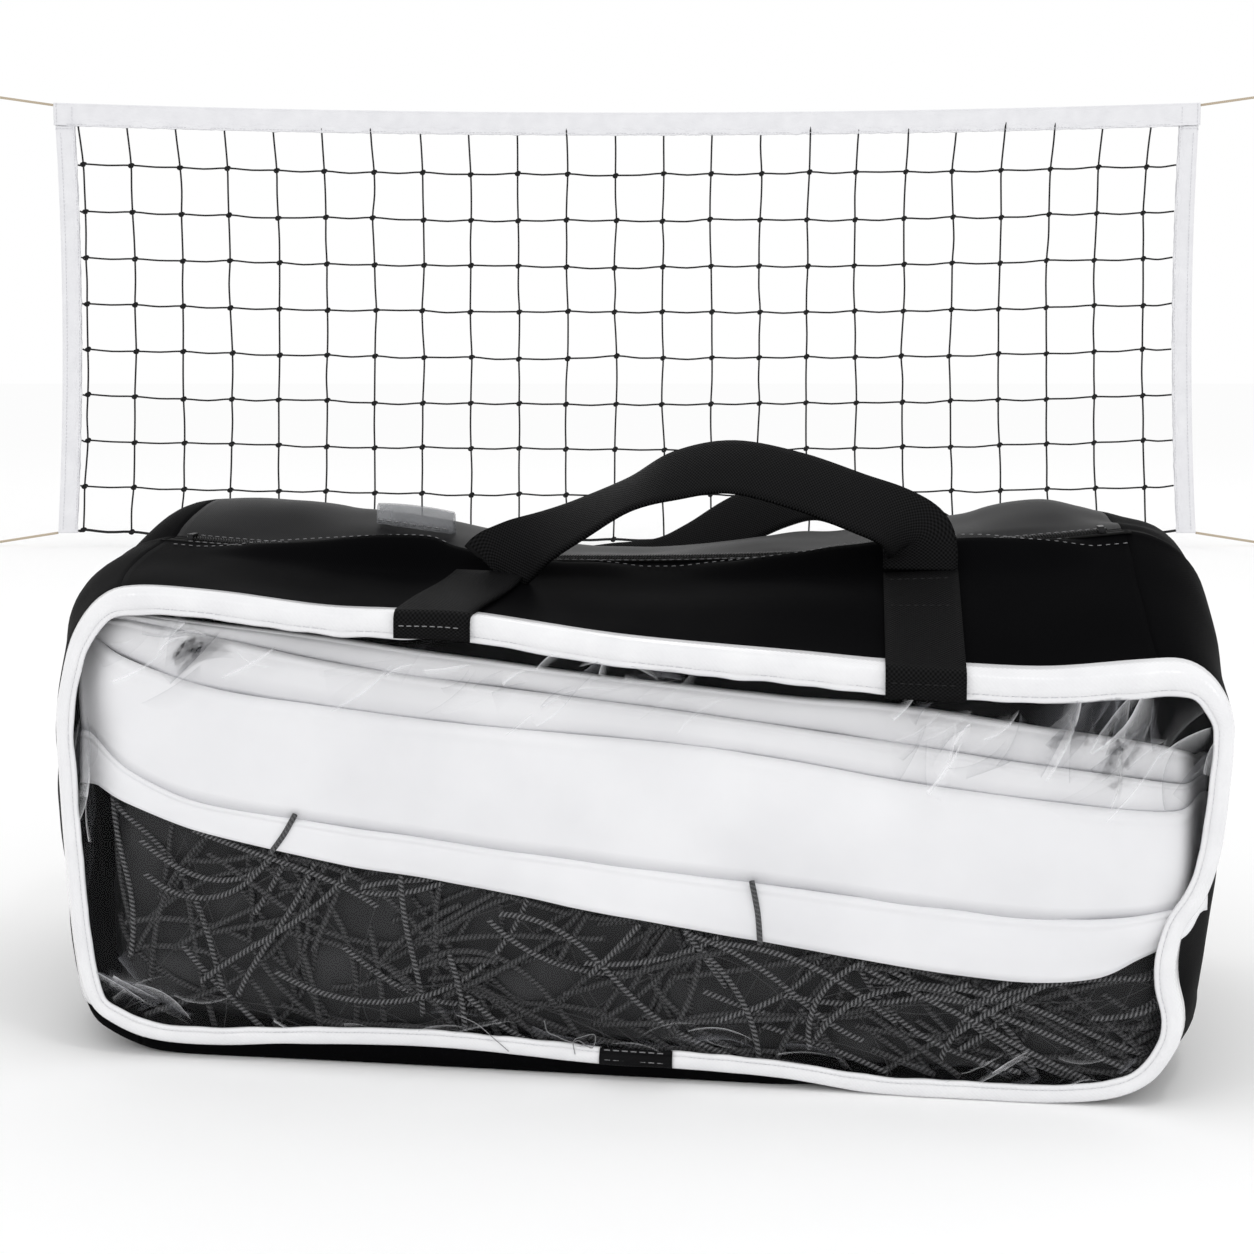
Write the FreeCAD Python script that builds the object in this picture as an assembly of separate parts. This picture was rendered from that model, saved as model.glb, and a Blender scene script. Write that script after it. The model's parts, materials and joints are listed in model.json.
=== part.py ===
import FreeCAD, Part
import math
import os
from FreeCAD import Vector

os.makedirs("parts", exist_ok=True)

# A pickleball net hung by four tie cords, with its zipped carry bag on the ground in front of it.
# The origin is the centre of the head cord at mid span. X runs along the net, Y away from the
# viewer and Z up. All sizes are millimetres.

# Driving sizes of the hung net
NET_LENGTH = 2356.0
FOOT_FLARE = 9.0
SIDE_BOW = 13.0
END_HEIGHT = 914.4
HEAD_SAG = 20.0
HEAD_TAPE_WIDTH = 50.0
SIDE_TAPE_WIDTH = 44.0
TAPE_THICKNESS = 1.2
HEAD_CORD = 6.0
SIDE_CORD = 5.0
FOOT_CORD = 4.0
TWINE = 3.5
FOOT_TWINE = 1.5
SELVEDGE = 4.0
COLUMNS = 23
FIRST_COLUMN_IN = 57.5
LAST_COLUMN_IN = 107.3
ROWS = 9
ROW_PITCH = 94.6
FIRST_ROW_DROP = 120.0
HEAD_SPREAD = 1.012
HEM_TAIL = 6.0
HEAD_SEAM = 2.2
FIT = 0.3

# Driving sizes of the tie cords
TIE_CORD = 5.0
CORD_FLATS = 8
TIE_REACH = 134.0
TIE_RISE = 19.0
TIE_FALL = 21.0
LOOP_BORE = 16.0
LOOP_STRAIGHT = 30.0
LOOP_STEPS = 7
KNOT_LENGTH = 16.0
KNOT_BULGE = 3.5
KNOT_SHOULDERS = (0.3, 0.7)

# Driving sizes of the carry bag, in its own frame: U along its front, V into it, W up
BAG_LEFT = -300.0
BAG_AHEAD = 2698.6
BAG_YAW = -7.345
BAG_LENGTH = 604.0
BAG_DEPTH = 245.0
BAG_LEFT_EDGE = -3.0
WALL = 2.5
FRONT_TOP_LEFT = 251.0
FRONT_TOP_RIGHT = 219.0
FRONT_DIP = 7.0
ZIP_TOP_LEFT = 269.0
ZIP_TOP_RIGHT = 280.0
ZIP_DIP = 14.0
HUMP_TOP_LEFT = 287.0
HUMP_TOP_RIGHT = 290.0
HUMP_VALLEY = 30.0
BACK_TOP_LEFT = 268.0
BACK_TOP_RIGHT = 271.0
BACK_VALLEY = 20.0
END_SWELL_LEFT = 25.0
END_SWELL_RIGHT = 8.0
END_DRAW_LEFT = 18.0
END_DRAW_RIGHT = 12.0
END_BOW = 5.0
FRONT_TUCK = 21.0
BACK_TUCK = 8.5
FRONT_LIFT = 8.0
FRONT_CORNER = 34.0
BACK_CORNER = 44.0
LEFT_SEAM_IN = 29.0
RIGHT_SEAM_IN = 45.0
LIP_BACK = 30.0
LIFT_OFF_AHEAD = 28.0
HUMP_AHEAD = 67.0
CORNER_STEPS = 4
TOP_STEPS = 12
END_STEPS = 3

# Driving sizes of the window and its binding
BINDING_WIDTH = 10.0
BINDING_THICKNESS = 3.0
BINDING_PROUD = 0.5
JOINT_LEFT = 289.0
JOINT_WIDTH = 36.0
VINYL = 1.0
WINDOW_CROWN = 4.0

# Driving sizes of the zip
ZIP_FRONT = 103.0
ZIP_WIDTH = 14.0
ZIP_TAPE = 1.2
ZIP_GAP = 1.6
COIL = 2.2
STOP_LENGTH = 3.0
SLIDER_LENGTH = 10.0
SLIDER_WALL = 1.2
SLIDER_POST = 1.0
SLIDERS_IN = 146.0
SLIDERS_APART = 1.5
CROWN_SPAN = 6.8
CROWN_RISE = 2.8
CROWN_THICKNESS = 1.6
CROWN_BAR = 1.0
SLIDER_ROUND = 1.1
PULL_LENGTH = 14.0
PULL_WIDTH = 5.4
PULL_THICKNESS = 1.2
PULL_SLOT = 3.9

# Driving sizes of the webbing handles
WEBBING_WIDTH = 40.0
WEBBING = 2.5
FRONT_LEFT_IN = 204.0
FRONT_LEFT_LEAN = 15.0
FRONT_RIGHT_IN = 148.0
STRAP_DROP = 14.0
FRONT_FOOT_CLEAR = 1.2
BACK_LEFT_IN = 219.0
BACK_RIGHT_IN = 121.0
BACK_STRAP_LENGTH = 60.0
BACK_STRAP_BELOW_RIM = 40.0
STRAP_SEAT = 0.3
BACK_FOOT_CLEAR = 1.4

# Driving sizes of the hanging tab
TAB_IN = 134.0
TAB_LENGTH = 47.0
TAB_BACK = 150.0
TAB_HEIGHT = 15.0
TAB_GAP = 4.0

# Driving sizes of the packed net: heights of each fold line at the left, the middle and the right
PACK_FRONT = 6.0
NETTING_TOP = (146.0, 86.0, 66.0)
LOWER_FOLD_TOP = (162.0, 111.0, 98.0)
MIDDLE_FOLD_TOP = (224.0, 176.0, 151.0)
UPPER_FOLD_TOP = (238.0, 195.0, 160.0)
CREST_FOLD_TOP = (243.0, 208.0, 170.0)
TAPE_PACK_DEPTH = 120.0

HALF = NET_LENGTH / 2
HEAD_HEM = HEAD_CORD / 2 + FIT + TAPE_THICKNESS
SIDE_HEM = SIDE_CORD / 2 + FIT + TAPE_THICKNESS
GROUND = HEAD_SAG + HEAD_HEM - END_HEIGHT
SWEEP_RADIUS = (HALF ** 2 + HEAD_SAG ** 2) / (2 * HEAD_SAG)
COLUMN_PITCH = (NET_LENGTH - FIRST_COLUMN_IN - LAST_COLUMN_IN) / (COLUMNS - 1)


def save(node, *solids):
    shape = solids[0] if len(solids) == 1 else Part.makeCompound(list(solids))
    shape.exportStep("parts/%s.step" % node)


def polygon(points):
    return Part.makePolygon(points + [points[0]])


def arc(start, middle, end):
    return Part.Arc(start, middle, end).toShape()


def line(start, end):
    return Part.LineSegment(start, end).toShape()


# The sag of the head cord, which every row of the net follows

def sag(x):
    return SWEEP_RADIUS - math.sqrt(SWEEP_RADIUS ** 2 - x ** 2)


def row_height(x, row):
    return sag(x) - FIRST_ROW_DROP - row * ROW_PITCH


# The side edge of the net is one shallow arc, bowed inwards between the corners

SIDE_TOP = HEAD_SAG + HEAD_HEM
SIDE_FOOT = row_height(HALF, ROWS - 1) - HEM_TAIL
SIDE_CURVE = Part.Circle(Vector(HALF, 0, SIDE_TOP),
                         Vector(HALF + FOOT_FLARE / 2 - SIDE_BOW, 0, (SIDE_TOP + SIDE_FOOT) / 2),
                         Vector(HALF + FOOT_FLARE, 0, SIDE_FOOT))


def side_edge(z):
    rise = z - SIDE_CURVE.Center.z
    return SIDE_CURVE.Center.x - math.sqrt(SIDE_CURVE.Radius ** 2 - rise ** 2)


# A hem is tape folded over a cord. Its section lies in the X, Y plane at the origin, where the
# cord is, and opens towards +X. It is revolved about the Y axis at the centre of the edge's arc.

def hem_section(cord, width):
    inner = cord / 2 + FIT
    outer = inner + TAPE_THICKNESS
    mouth = TWINE / 2 + FIT
    reach = width - outer
    sides = []
    for radius, half in ((outer, mouth + TAPE_THICKNESS), (inner, mouth)):
        turn = math.atan2(half, reach) + math.acos(radius / math.hypot(reach, half))
        touch = (radius * math.cos(turn), radius * math.sin(turn))
        sides.append((half, touch, radius))
    (open_out, touch_out, outer), (open_in, touch_in, inner) = sides
    low_out = Vector(reach, -open_out, 0)
    low_in = Vector(reach, -open_in, 0)
    high_in = Vector(reach, open_in, 0)
    high_out = Vector(reach, open_out, 0)
    out_up = Vector(touch_out[0], touch_out[1], 0)
    out_down = Vector(touch_out[0], -touch_out[1], 0)
    in_up = Vector(touch_in[0], touch_in[1], 0)
    in_down = Vector(touch_in[0], -touch_in[1], 0)
    edges = [line(high_out, out_up), arc(out_up, Vector(-outer, 0, 0), out_down),
             line(out_down, low_out), line(low_out, low_in), line(low_in, in_down),
             arc(in_down, Vector(-inner, 0, 0), in_up), line(in_up, high_in), line(high_in, high_out)]
    return Part.Face(Part.Wire(edges))


def flats(diameter, centre, first, second):
    """A cord's section with flat sides, in the plane of two square directions."""
    corners = []
    for index in range(CORD_FLATS):
        turn = 2 * math.pi * (index + 0.5) / CORD_FLATS
        corners.append(centre + (first * math.cos(turn) + second * math.sin(turn)) * (diameter / 2))
    return corners


def cord_section(diameter):
    return Part.Face(polygon(flats(diameter, Vector(0, 0, 0), Vector(1, 0, 0), Vector(0, 1, 0))))


def faceted(rings):
    """A closed solid through rings of points, its sides in flat triangles."""
    faces = [Part.Face(polygon(rings[0])), Part.Face(polygon(rings[-1]))]
    for near, ahead in zip(rings, rings[1:]):
        for index in range(len(near)):
            after = (index + 1) % len(near)
            faces.append(Part.Face(polygon([near[index], near[after], ahead[after]])))
            faces.append(Part.Face(polygon([near[index], ahead[after], ahead[index]])))
    shell = Part.makeShell(faces)
    shell.sewShape()
    solid = Part.makeSolid(shell)
    if solid.Volume < 0:
        solid.reverse()
    return solid


def swing(face, centre, radius, start, end):
    """Revolve a section about the Y axis through a centre, from one angle to another.

    Angle 0 points along +X and angles grow towards -Z.
    """
    section = face.copy()
    section.translate(Vector(radius, 0, 0))
    solid = section.revolve(Vector(0, 0, 0), Vector(0, 1, 0), end - start)
    solid.rotate(Vector(0, 0, 0), Vector(0, 1, 0), start)
    solid.translate(centre)
    return solid


def turned(shape):
    copy = shape.copy()
    copy.rotate(Vector(0, 0, 0), Vector(0, 0, 1), 180)
    return copy


HEAD_CENTRE = Vector(0, 0, SWEEP_RADIUS)
HEAD_TURN = math.degrees(math.asin(HALF / SWEEP_RADIUS))


def along_head(face, radius):
    return swing(face, HEAD_CENTRE, radius, 90 - HEAD_TURN, 90 + HEAD_TURN)


# Head tape and head cord

save("top_tape", along_head(hem_section(HEAD_CORD, HEAD_TAPE_WIDTH), SWEEP_RADIUS))
head_cord = along_head(cord_section(HEAD_CORD), SWEEP_RADIUS)
save("head_cord", head_cord)

# Side tapes and side cords. The right side's arc has its centre out to the right.

SIDE_CENTRE = SIDE_CURVE.Center
HEAD_TAPE_FOOT = HEAD_TAPE_WIDTH - HEAD_HEM


def side_angle(z):
    return 180 + math.degrees(math.asin((z - SIDE_CENTRE.z) / SIDE_CURVE.Radius))


side_start = side_angle(sag(HALF - SIDE_TAPE_WIDTH) - HEAD_TAPE_FOOT - HEAD_SEAM)
side_end = side_angle(SIDE_FOOT)
side_hem = hem_section(SIDE_CORD, SIDE_TAPE_WIDTH)
right_tape = swing(side_hem, SIDE_CENTRE, SIDE_CURVE.Radius + SIDE_HEM, side_end, side_start)
right_cord = swing(cord_section(SIDE_CORD), SIDE_CENTRE, SIDE_CURVE.Radius + SIDE_HEM, side_end, side_start)
save("right_side_tape", right_tape)
save("right_side_cord", right_cord)
save("left_side_tape", turned(right_tape))
save("left_side_cord", turned(right_cord))


# The net is one holed face, pushed out to the thickness of its twine

def column_x(column):
    return -HALF + FIRST_COLUMN_IN + column * COLUMN_PITCH


def crossing(column, row):
    """The knot where a column crosses a row. Column -1 and the last are the side selvedges."""
    if row < 0:
        x = column_x(column) * HEAD_SPREAD
    else:
        x = column_x(column) * side_edge(row_height(HALF, row)) / side_edge(row_height(HALF, 0))
    inner = SIDE_HEM + SIDE_CORD / 2 + FIT + SELVEDGE / 2
    if column < 0 or column >= COLUMNS:
        level = sag(HALF) - FIRST_ROW_DROP - max(row, -1) * ROW_PITCH
        x = math.copysign(side_edge(level) - inner, column)
    z = row_height(x, row)
    if row < 0:
        z = sag(x) - HEAD_CORD / 2 - FIT - SELVEDGE / 2
    return Vector(x, 0, z)


def half_width_left(column):
    return SELVEDGE / 2 if column < 0 or column >= COLUMNS else TWINE / 2


def half_row(row):
    if row < 0:
        return SELVEDGE / 2
    return FOOT_TWINE / 2 if row == ROWS - 1 else TWINE / 2


def gap(column, row):
    """The opening between two columns and two rows."""
    corners = []
    for at_column, at_row in ((column, row), (column + 1, row), (column + 1, row + 1), (column, row + 1)):
        across = 1 if at_column == column else -1
        down = -1 if at_row == row else 1
        shift = Vector(across * half_width_left(at_column), 0, down * half_row(at_row))
        corners.append(crossing(at_column, at_row) + shift)
    return polygon(corners)


def rim_point(column, row):
    across = 0
    down = 0
    if column < 0 or column >= COLUMNS:
        across = math.copysign(SELVEDGE / 2, column)
    if row in (-1, ROWS - 1):
        down = math.copysign(half_row(row), -row - 0.5)
    return crossing(column, row) + Vector(across, 0, down)


all_columns = range(-1, COLUMNS + 1)
rim = [rim_point(column, -1) for column in all_columns]
rim += [rim_point(COLUMNS, row) for row in range(ROWS)]
rim += [rim_point(column, ROWS - 1) for column in reversed(range(-1, COLUMNS))]
rim += [rim_point(-1, row) for row in reversed(range(ROWS - 1))]
gaps = [gap(column, row) for column in range(-1, COLUMNS) for row in range(-1, ROWS - 1)]
net_face = Part.Face([polygon(rim)] + gaps)
net_face.translate(Vector(0, -TWINE / 2, 0))
save("net_mesh", net_face.extrude(Vector(0, TWINE, 0)))

# Foot cord, under the last row and between the side tapes

foot_half = side_edge(row_height(HALF, ROWS - 1)) - SIDE_TAPE_WIDTH - FIT
foot_drop = FIRST_ROW_DROP + (ROWS - 1) * ROW_PITCH + FOOT_TWINE / 2 + FOOT_CORD / 2
foot_turn = math.degrees(math.asin(foot_half / SWEEP_RADIUS))
foot_cord = swing(cord_section(FOOT_CORD), HEAD_CENTRE, SWEEP_RADIUS, 90 - foot_turn, 90 + foot_turn)
foot_cord.translate(Vector(0, 0, -foot_drop))
save("foot_cord", foot_cord)


# Tie cords. Each is pulled straight and ends in a knotted loop.

def rod(start, end, across):
    run = end - start
    along = Vector(run).normalize()
    return Part.Face(polygon(flats(TIE_CORD, start, across, along.cross(across)))).extrude(run)


def cord_tube(points, diameter, up):
    """A cord with flat sides through points, each section square to the way the cord runs there."""
    rings = []
    last = len(points) - 1
    for index, point in enumerate(points):
        along = (points[min(index + 1, last)] - points[max(index - 1, 0)]).normalize()
        rings.append(flats(diameter, point, up, along.cross(up)))
    return faceted(rings)


def knotted_loop(start, run, across):
    """A barrel knot and the loop beyond it. The loop lies in the plane of run and across."""
    run = Vector(run).normalize()
    across = Vector(across).normalize()
    up = run.cross(across)
    belly = TIE_CORD + 2 * KNOT_BULGE
    rings = []
    first, second = KNOT_SHOULDERS
    for share, width in ((0.0, TIE_CORD), (first, belly), (second, belly), (1.0, TIE_CORD + KNOT_BULGE)):
        rings.append(flats(width, start + run * (KNOT_LENGTH * share), up, across))
    knot = faceted(rings)
    mouth = start + run * (KNOT_LENGTH - TIE_CORD / 2)
    bend = (LOOP_BORE + TIE_CORD) / 2
    neck = TIE_CORD / 2 + FIT
    centre = mouth + run * (LOOP_STRAIGHT + bend)
    path = [mouth + across * neck, mouth + run * bend + across * bend]
    for step in range(LOOP_STEPS + 1):
        turn = math.pi * step / LOOP_STEPS
        path.append(centre + across * (bend * math.cos(turn)) + run * (bend * math.sin(turn)))
    path += [mouth + run * bend - across * bend, mouth - across * neck]
    return knot.fuse(cord_tube(path, TIE_CORD, up)).removeSplitter()


HEAD_END = Vector(HALF, 0, HEAD_SAG)
FOOT_END = Vector(side_edge(SIDE_FOOT) + FIT, 0, SIDE_FOOT + TIE_CORD)
for side_name, flip in (("right", False), ("left", True)):
    upper_run = Vector(TIE_REACH, 0, TIE_RISE)
    lower_run = Vector(TIE_REACH, 0, -TIE_FALL)
    upper = rod(HEAD_END, HEAD_END + upper_run, Vector(0, 1, 0)).cut(head_cord)
    upper_loop = knotted_loop(HEAD_END + upper_run, upper_run, Vector(-TIE_RISE, 0, TIE_REACH))
    lower_loop = knotted_loop(FOOT_END + lower_run, Vector(1, 0, 0), Vector(0, 1, 0))
    lower = rod(FOOT_END, FOOT_END + lower_run, Vector(0, 1, 0)).cut(lower_loop)
    group = {"head_tie_": upper, "foot_tie_": lower, "head_loop_": upper_loop, "foot_loop_": lower_loop}
    for stem, solid in group.items():
        save(stem + side_name, turned(solid) if flip else solid)


# The bag's form is a run of rounded outlines in its own frame. Each follows from its distance back.

BAG_RIGHT_EDGE = BAG_LEFT_EDGE + BAG_LENGTH
ZIP_BACK = ZIP_FRONT + ZIP_WIDTH
LIFT_OFF_BACK = ZIP_FRONT - LIFT_OFF_AHEAD
HUMP_BACK = BAG_DEPTH - HUMP_AHEAD
FRONT_TOP = (FRONT_TOP_LEFT, FRONT_TOP_RIGHT, FRONT_DIP, 0.0)
ZIP_TOP = (ZIP_TOP_LEFT, ZIP_TOP_RIGHT, ZIP_DIP, 0.0)
HUMP_TOP = (HUMP_TOP_LEFT, HUMP_TOP_RIGHT, 0.0, HUMP_VALLEY)
BACK_TOP = (BACK_TOP_LEFT, BACK_TOP_RIGHT, 0.0, BACK_VALLEY)


def rising(share):
    """A quarter wave from 0 to 1 that starts steep and ends level."""
    return math.sin(math.pi / 2 * min(1.0, max(0.0, share)))


def falling(share):
    """A quarter wave from 0 to 1 that starts level and ends steep."""
    return 1 - rising(1 - share)


def blend(first, second, share):
    return first + (second - first) * share


def top_sizes(back):
    """Height of the top at the left and the right, its even dip, and the valley in its middle."""
    if back <= ZIP_BACK:
        ends = (FRONT_TOP, ZIP_TOP)
        share = min(1.0, max(0.0, back / ZIP_FRONT))
    elif back <= HUMP_BACK:
        ends = (ZIP_TOP, HUMP_TOP)
        share = rising((back - ZIP_BACK) / (HUMP_BACK - ZIP_BACK))
    else:
        ends = (HUMP_TOP, BACK_TOP)
        share = falling((back - HUMP_BACK) / (BAG_DEPTH - HUMP_BACK))
    return [blend(first, second, share) for first, second in zip(*ends)]


def end_edges(back):
    """Where the ends lie: swollen behind the window and drawn in at the back."""
    swell = rising(back / LIFT_OFF_BACK)
    draw = falling(max(0.0, (back - ZIP_BACK) / (BAG_DEPTH - ZIP_BACK)))
    left = BAG_LEFT_EDGE - END_SWELL_LEFT * swell + END_DRAW_LEFT * draw
    right = BAG_RIGHT_EDGE + END_SWELL_RIGHT * swell - END_DRAW_RIGHT * draw
    return left, right


def corner_size(back):
    return blend(FRONT_CORNER, BACK_CORNER, rising(back / LIFT_OFF_BACK))


def outline(back, inset, at):
    """The corner points of one outline, two for each rounded corner, clockwise from the left end."""
    lo, hi = end_edges(back)
    top_left, top_right = top_sizes(back)[:2]
    c = corner_size(back) - inset
    tuck = blend(FRONT_TUCK, BACK_TUCK, rising(back / LIFT_OFF_BACK))
    foot_left = blend(FRONT_LIFT, 0, rising(back / LIP_BACK)) + inset
    lo += inset
    hi -= inset
    lo_foot = lo + tuck / 3
    hi_foot = hi - tuck
    corners = [(lo, top_left - inset - c), (lo + c, top_left - inset), (hi - c, top_right - inset),
               (hi, top_right - inset - c), (hi_foot, inset + c), (hi_foot - c, inset),
               (lo_foot + c, foot_left), (lo_foot, foot_left + c)]
    return [Vector(u, at, w) for u, w in corners]


def corner_arc(start, end, turn_at):
    """A round corner between two points. The third is where its two sides would meet."""
    middle = (start + end) / 2
    return arc(start, turn_at + (middle - turn_at) * (2 * (math.sqrt(2) - 1)), end)


def outline_edges(back, inset, at):
    """The outline as eight edges: corner, top, corner, end, corner, foot, corner, end."""
    ring = outline(back, inset, at)
    dip = Vector(0, 0, top_sizes(back)[2])
    bow = Vector(END_BOW, 0, 0)
    top = arc(ring[1], (ring[1] + ring[2]) / 2 - dip, ring[2]) if dip.z else line(ring[1], ring[2])
    return [corner_arc(ring[0], ring[1], Vector(ring[0].x, at, ring[1].z)),
            top,
            corner_arc(ring[2], ring[3], Vector(ring[3].x, at, ring[2].z)),
            arc(ring[3], (ring[3] + ring[4]) / 2 + bow, ring[4]),
            corner_arc(ring[4], ring[5], Vector(ring[4].x, at, ring[5].z)),
            line(ring[5], ring[6]),
            corner_arc(ring[6], ring[7], Vector(ring[7].x, at, ring[6].z)),
            arc(ring[7], (ring[7] + ring[0]) / 2 - bow, ring[0])]


def prism(back, inset, start, end):
    """The outline of one distance back, pushed from one depth to another."""
    wire = Part.Wire(outline_edges(back, inset, start))
    return Part.Face(wire).extrude(Vector(0, end - start, 0))


def top_height(back, u, inset=0.0):
    """Height of the bag's top at one distance back, at one place along it."""
    start, end = outline(back, inset, back)[1:3]
    dip, valley = top_sizes(back)[2:]
    share = (u - start.x) / (end.x - start.x)
    fall = 4 * dip * share * (1 - share) + valley * math.sin(math.pi * share) ** 2
    return blend(start.z, end.z, share) - fall


def flat_ring(back, inset, at):
    """The outline as points, for a form in flat facets. Its top also has the valley."""
    counts = (CORNER_STEPS, TOP_STEPS, CORNER_STEPS, END_STEPS, CORNER_STEPS, 1, CORNER_STEPS, END_STEPS)
    points = []
    top_edge = 1
    for index, (edge, count) in enumerate(zip(outline_edges(back, inset, at), counts)):
        if index == top_edge:
            start, end = outline(back, inset, at)[1:3]
            for step in range(count):
                u = blend(start.x, end.x, step / count)
                points.append(Vector(u, at, top_height(back, u, inset)))
        else:
            points += edge.discretize(Number=count + 1)[:-1]
    return points


def bag_form(backs, inset, ahead=0.0):
    """The bag's solid form through several distances back, started ahead of the rim where asked."""
    rings = [flat_ring(backs[0], inset, backs[0] - ahead)] if ahead else []
    return faceted(rings + [flat_ring(back, inset, back) for back in backs])


FRONT_RUN = (0.0, LIP_BACK, LIFT_OFF_BACK, ZIP_FRONT)
BACK_RUN = (ZIP_BACK, (ZIP_BACK + HUMP_BACK) / 2, HUMP_BACK, (HUMP_BACK + BAG_DEPTH) / 2, BAG_DEPTH)


def box(u0, u1, v0, v1, w0, w1):
    return Part.makeBox(u1 - u0, v1 - v0, w1 - w0, Vector(u0, v0, w0))


def placed(solid):
    copy = solid.copy()
    copy.rotate(Vector(0, 0, 0), Vector(0, 0, 1), BAG_YAW)
    copy.translate(Vector(BAG_LEFT, -BAG_AHEAD, GROUND))
    return copy


def rounded(point):
    """A place on the bag in the frame of the whole, for printing."""
    return [round(value, 3) for value in placed(Part.Vertex(point)).Point]


def save_bag(node, *solids):
    save(node, *[placed(solid) for solid in solids])


FAR = 2 * BAG_LENGTH
SEAM_LEFT = BAG_LEFT_EDGE + LEFT_SEAM_IN
SEAM_RIGHT = BAG_RIGHT_EDGE - RIGHT_SEAM_IN
MID_HEIGHT = FRONT_TOP_RIGHT / 2
ABOVE_FLOOR = box(-FAR, FAR, -FAR, FAR, 0, FAR)
shell = bag_form(FRONT_RUN + BACK_RUN, 0).cut(bag_form(FRONT_RUN + BACK_RUN, WALL)).common(ABOVE_FLOOR)
top_shell = shell.common(box(SEAM_LEFT, SEAM_RIGHT, -FAR, FAR, MID_HEIGHT, FAR))
save_bag("front_top_panel", top_shell.common(box(-FAR, FAR, -FAR, ZIP_FRONT, 0, FAR)))
save_bag("back_top_panel", top_shell.common(box(-FAR, FAR, ZIP_BACK, FAR, 0, FAR)))
save_bag("base_panel", shell.common(box(SEAM_LEFT, SEAM_RIGHT, -FAR, FAR, 0, MID_HEIGHT)))
save_bag("left_end_panel", shell.common(box(-FAR, SEAM_LEFT, -FAR, FAR, 0, FAR)))
save_bag("right_end_panel", shell.common(box(SEAM_RIGHT, FAR, -FAR, FAR, 0, FAR)))
back_rings = [flat_ring(BAG_DEPTH, 0, BAG_DEPTH + depth) for depth in (0, WALL)]
save_bag("back_panel", faceted(back_rings))

# White binding round the window, with its butt joint covered by black tape at the foot

binding = prism(0, -BINDING_PROUD, -BINDING_THICKNESS, 0)
binding = binding.cut(prism(0, BINDING_WIDTH, -BINDING_THICKNESS, 0))
joint_zone = box(JOINT_LEFT, JOINT_LEFT + JOINT_WIDTH, -FAR, FAR, -FAR, MID_HEIGHT)
save_bag("front_binding", binding.cut(joint_zone).common(ABOVE_FLOOR))
save_bag("binding_joint_tape", binding.common(joint_zone).common(ABOVE_FLOOR))


# Clear window inside the binding, crowned like a shallow barrel along the bag

window_half = max(FRONT_TOP_LEFT, FRONT_TOP_RIGHT) / 2
crown_radius = (window_half ** 2 + WINDOW_CROWN ** 2) / (2 * WINDOW_CROWN)


def crowned(radius, inset):
    """The window's opening, filled out to a barrel about a far axis along the bag."""
    axis_foot = Vector(-FAR, crown_radius - WINDOW_CROWN, (FRONT_TOP_LEFT + FRONT_TOP_RIGHT) / 4)
    barrel = Part.makeCylinder(radius, 2 * FAR, axis_foot, Vector(1, 0, 0))
    return prism(0, inset, -2 * WINDOW_CROWN, 0).common(barrel)


window_in = BINDING_WIDTH + FIT
window = crowned(crown_radius + VINYL, window_in)
save_bag("clear_window", window.cut(crowned(crown_radius, window_in + VINYL)))

# Zip tapes and coil halves, along the arc of the top seam

ZIP_CURVE = outline_edges(ZIP_FRONT, 0, 0)[1].Curve
ZIP_CENTRE = ZIP_CURVE.Center
ZIP_RADIUS = ZIP_CURVE.Radius
ZIP_MIDDLE = ZIP_FRONT + ZIP_WIDTH / 2


def zip_angle(u):
    return 90 - math.degrees(math.asin((u - ZIP_CENTRE.x) / ZIP_RADIUS))


def zip_height(u):
    return ZIP_CENTRE.z - math.sqrt(ZIP_RADIUS ** 2 - (u - ZIP_CENTRE.x) ** 2)


thin_band = prism(ZIP_FRONT, 0, ZIP_FRONT, ZIP_BACK).cut(prism(ZIP_FRONT, ZIP_TAPE, ZIP_FRONT, ZIP_BACK))
coil_offset = (ZIP_GAP + COIL) / 2
stops = []
for node, side, v0, v1 in (("front", -1, ZIP_FRONT, ZIP_MIDDLE - ZIP_GAP / 2),
                           ("back", 1, ZIP_MIDDLE + ZIP_GAP / 2, ZIP_BACK)):
    save_bag("zip_tape_" + node, thin_band.common(box(SEAM_LEFT, SEAM_RIGHT, v0, v1, MID_HEIGHT, FAR)))
    centre = Vector(ZIP_CENTRE.x, ZIP_MIDDLE + side * coil_offset, ZIP_CENTRE.z)
    coil = swing(cord_section(COIL), centre, ZIP_RADIUS - COIL / 2,
                 zip_angle(SEAM_RIGHT), zip_angle(SEAM_LEFT))
    save_bag("zip_coil_" + node, coil)


def on_zip(solid, u):
    """Seat a solid drawn about the origin, X along the zip, on the seam's arc."""
    copy = solid.copy()
    copy.rotate(Vector(0, 0, 0), Vector(0, 1, 0), zip_angle(u) - 90)
    copy.translate(Vector(u, ZIP_MIDDLE, zip_height(u)))
    return copy


stop_half = ZIP_GAP / 2 + COIL + FIT
stop = box(-STOP_LENGTH / 2, STOP_LENGTH / 2, -stop_half - SLIDER_WALL, stop_half + SLIDER_WALL,
           FIT / 3, COIL + FIT + SLIDER_WALL)
stop = stop.cut(box(-STOP_LENGTH, STOP_LENGTH, -stop_half, stop_half, -1, COIL + FIT / 3))
stop_in = STOP_LENGTH
save_bag("zip_end_stops", on_zip(stop, SEAM_LEFT + stop_in), on_zip(stop, SEAM_RIGHT - stop_in))

# Zip sliders. Each has two plates on a post between the tapes, and a crown that holds its pull.

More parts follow.
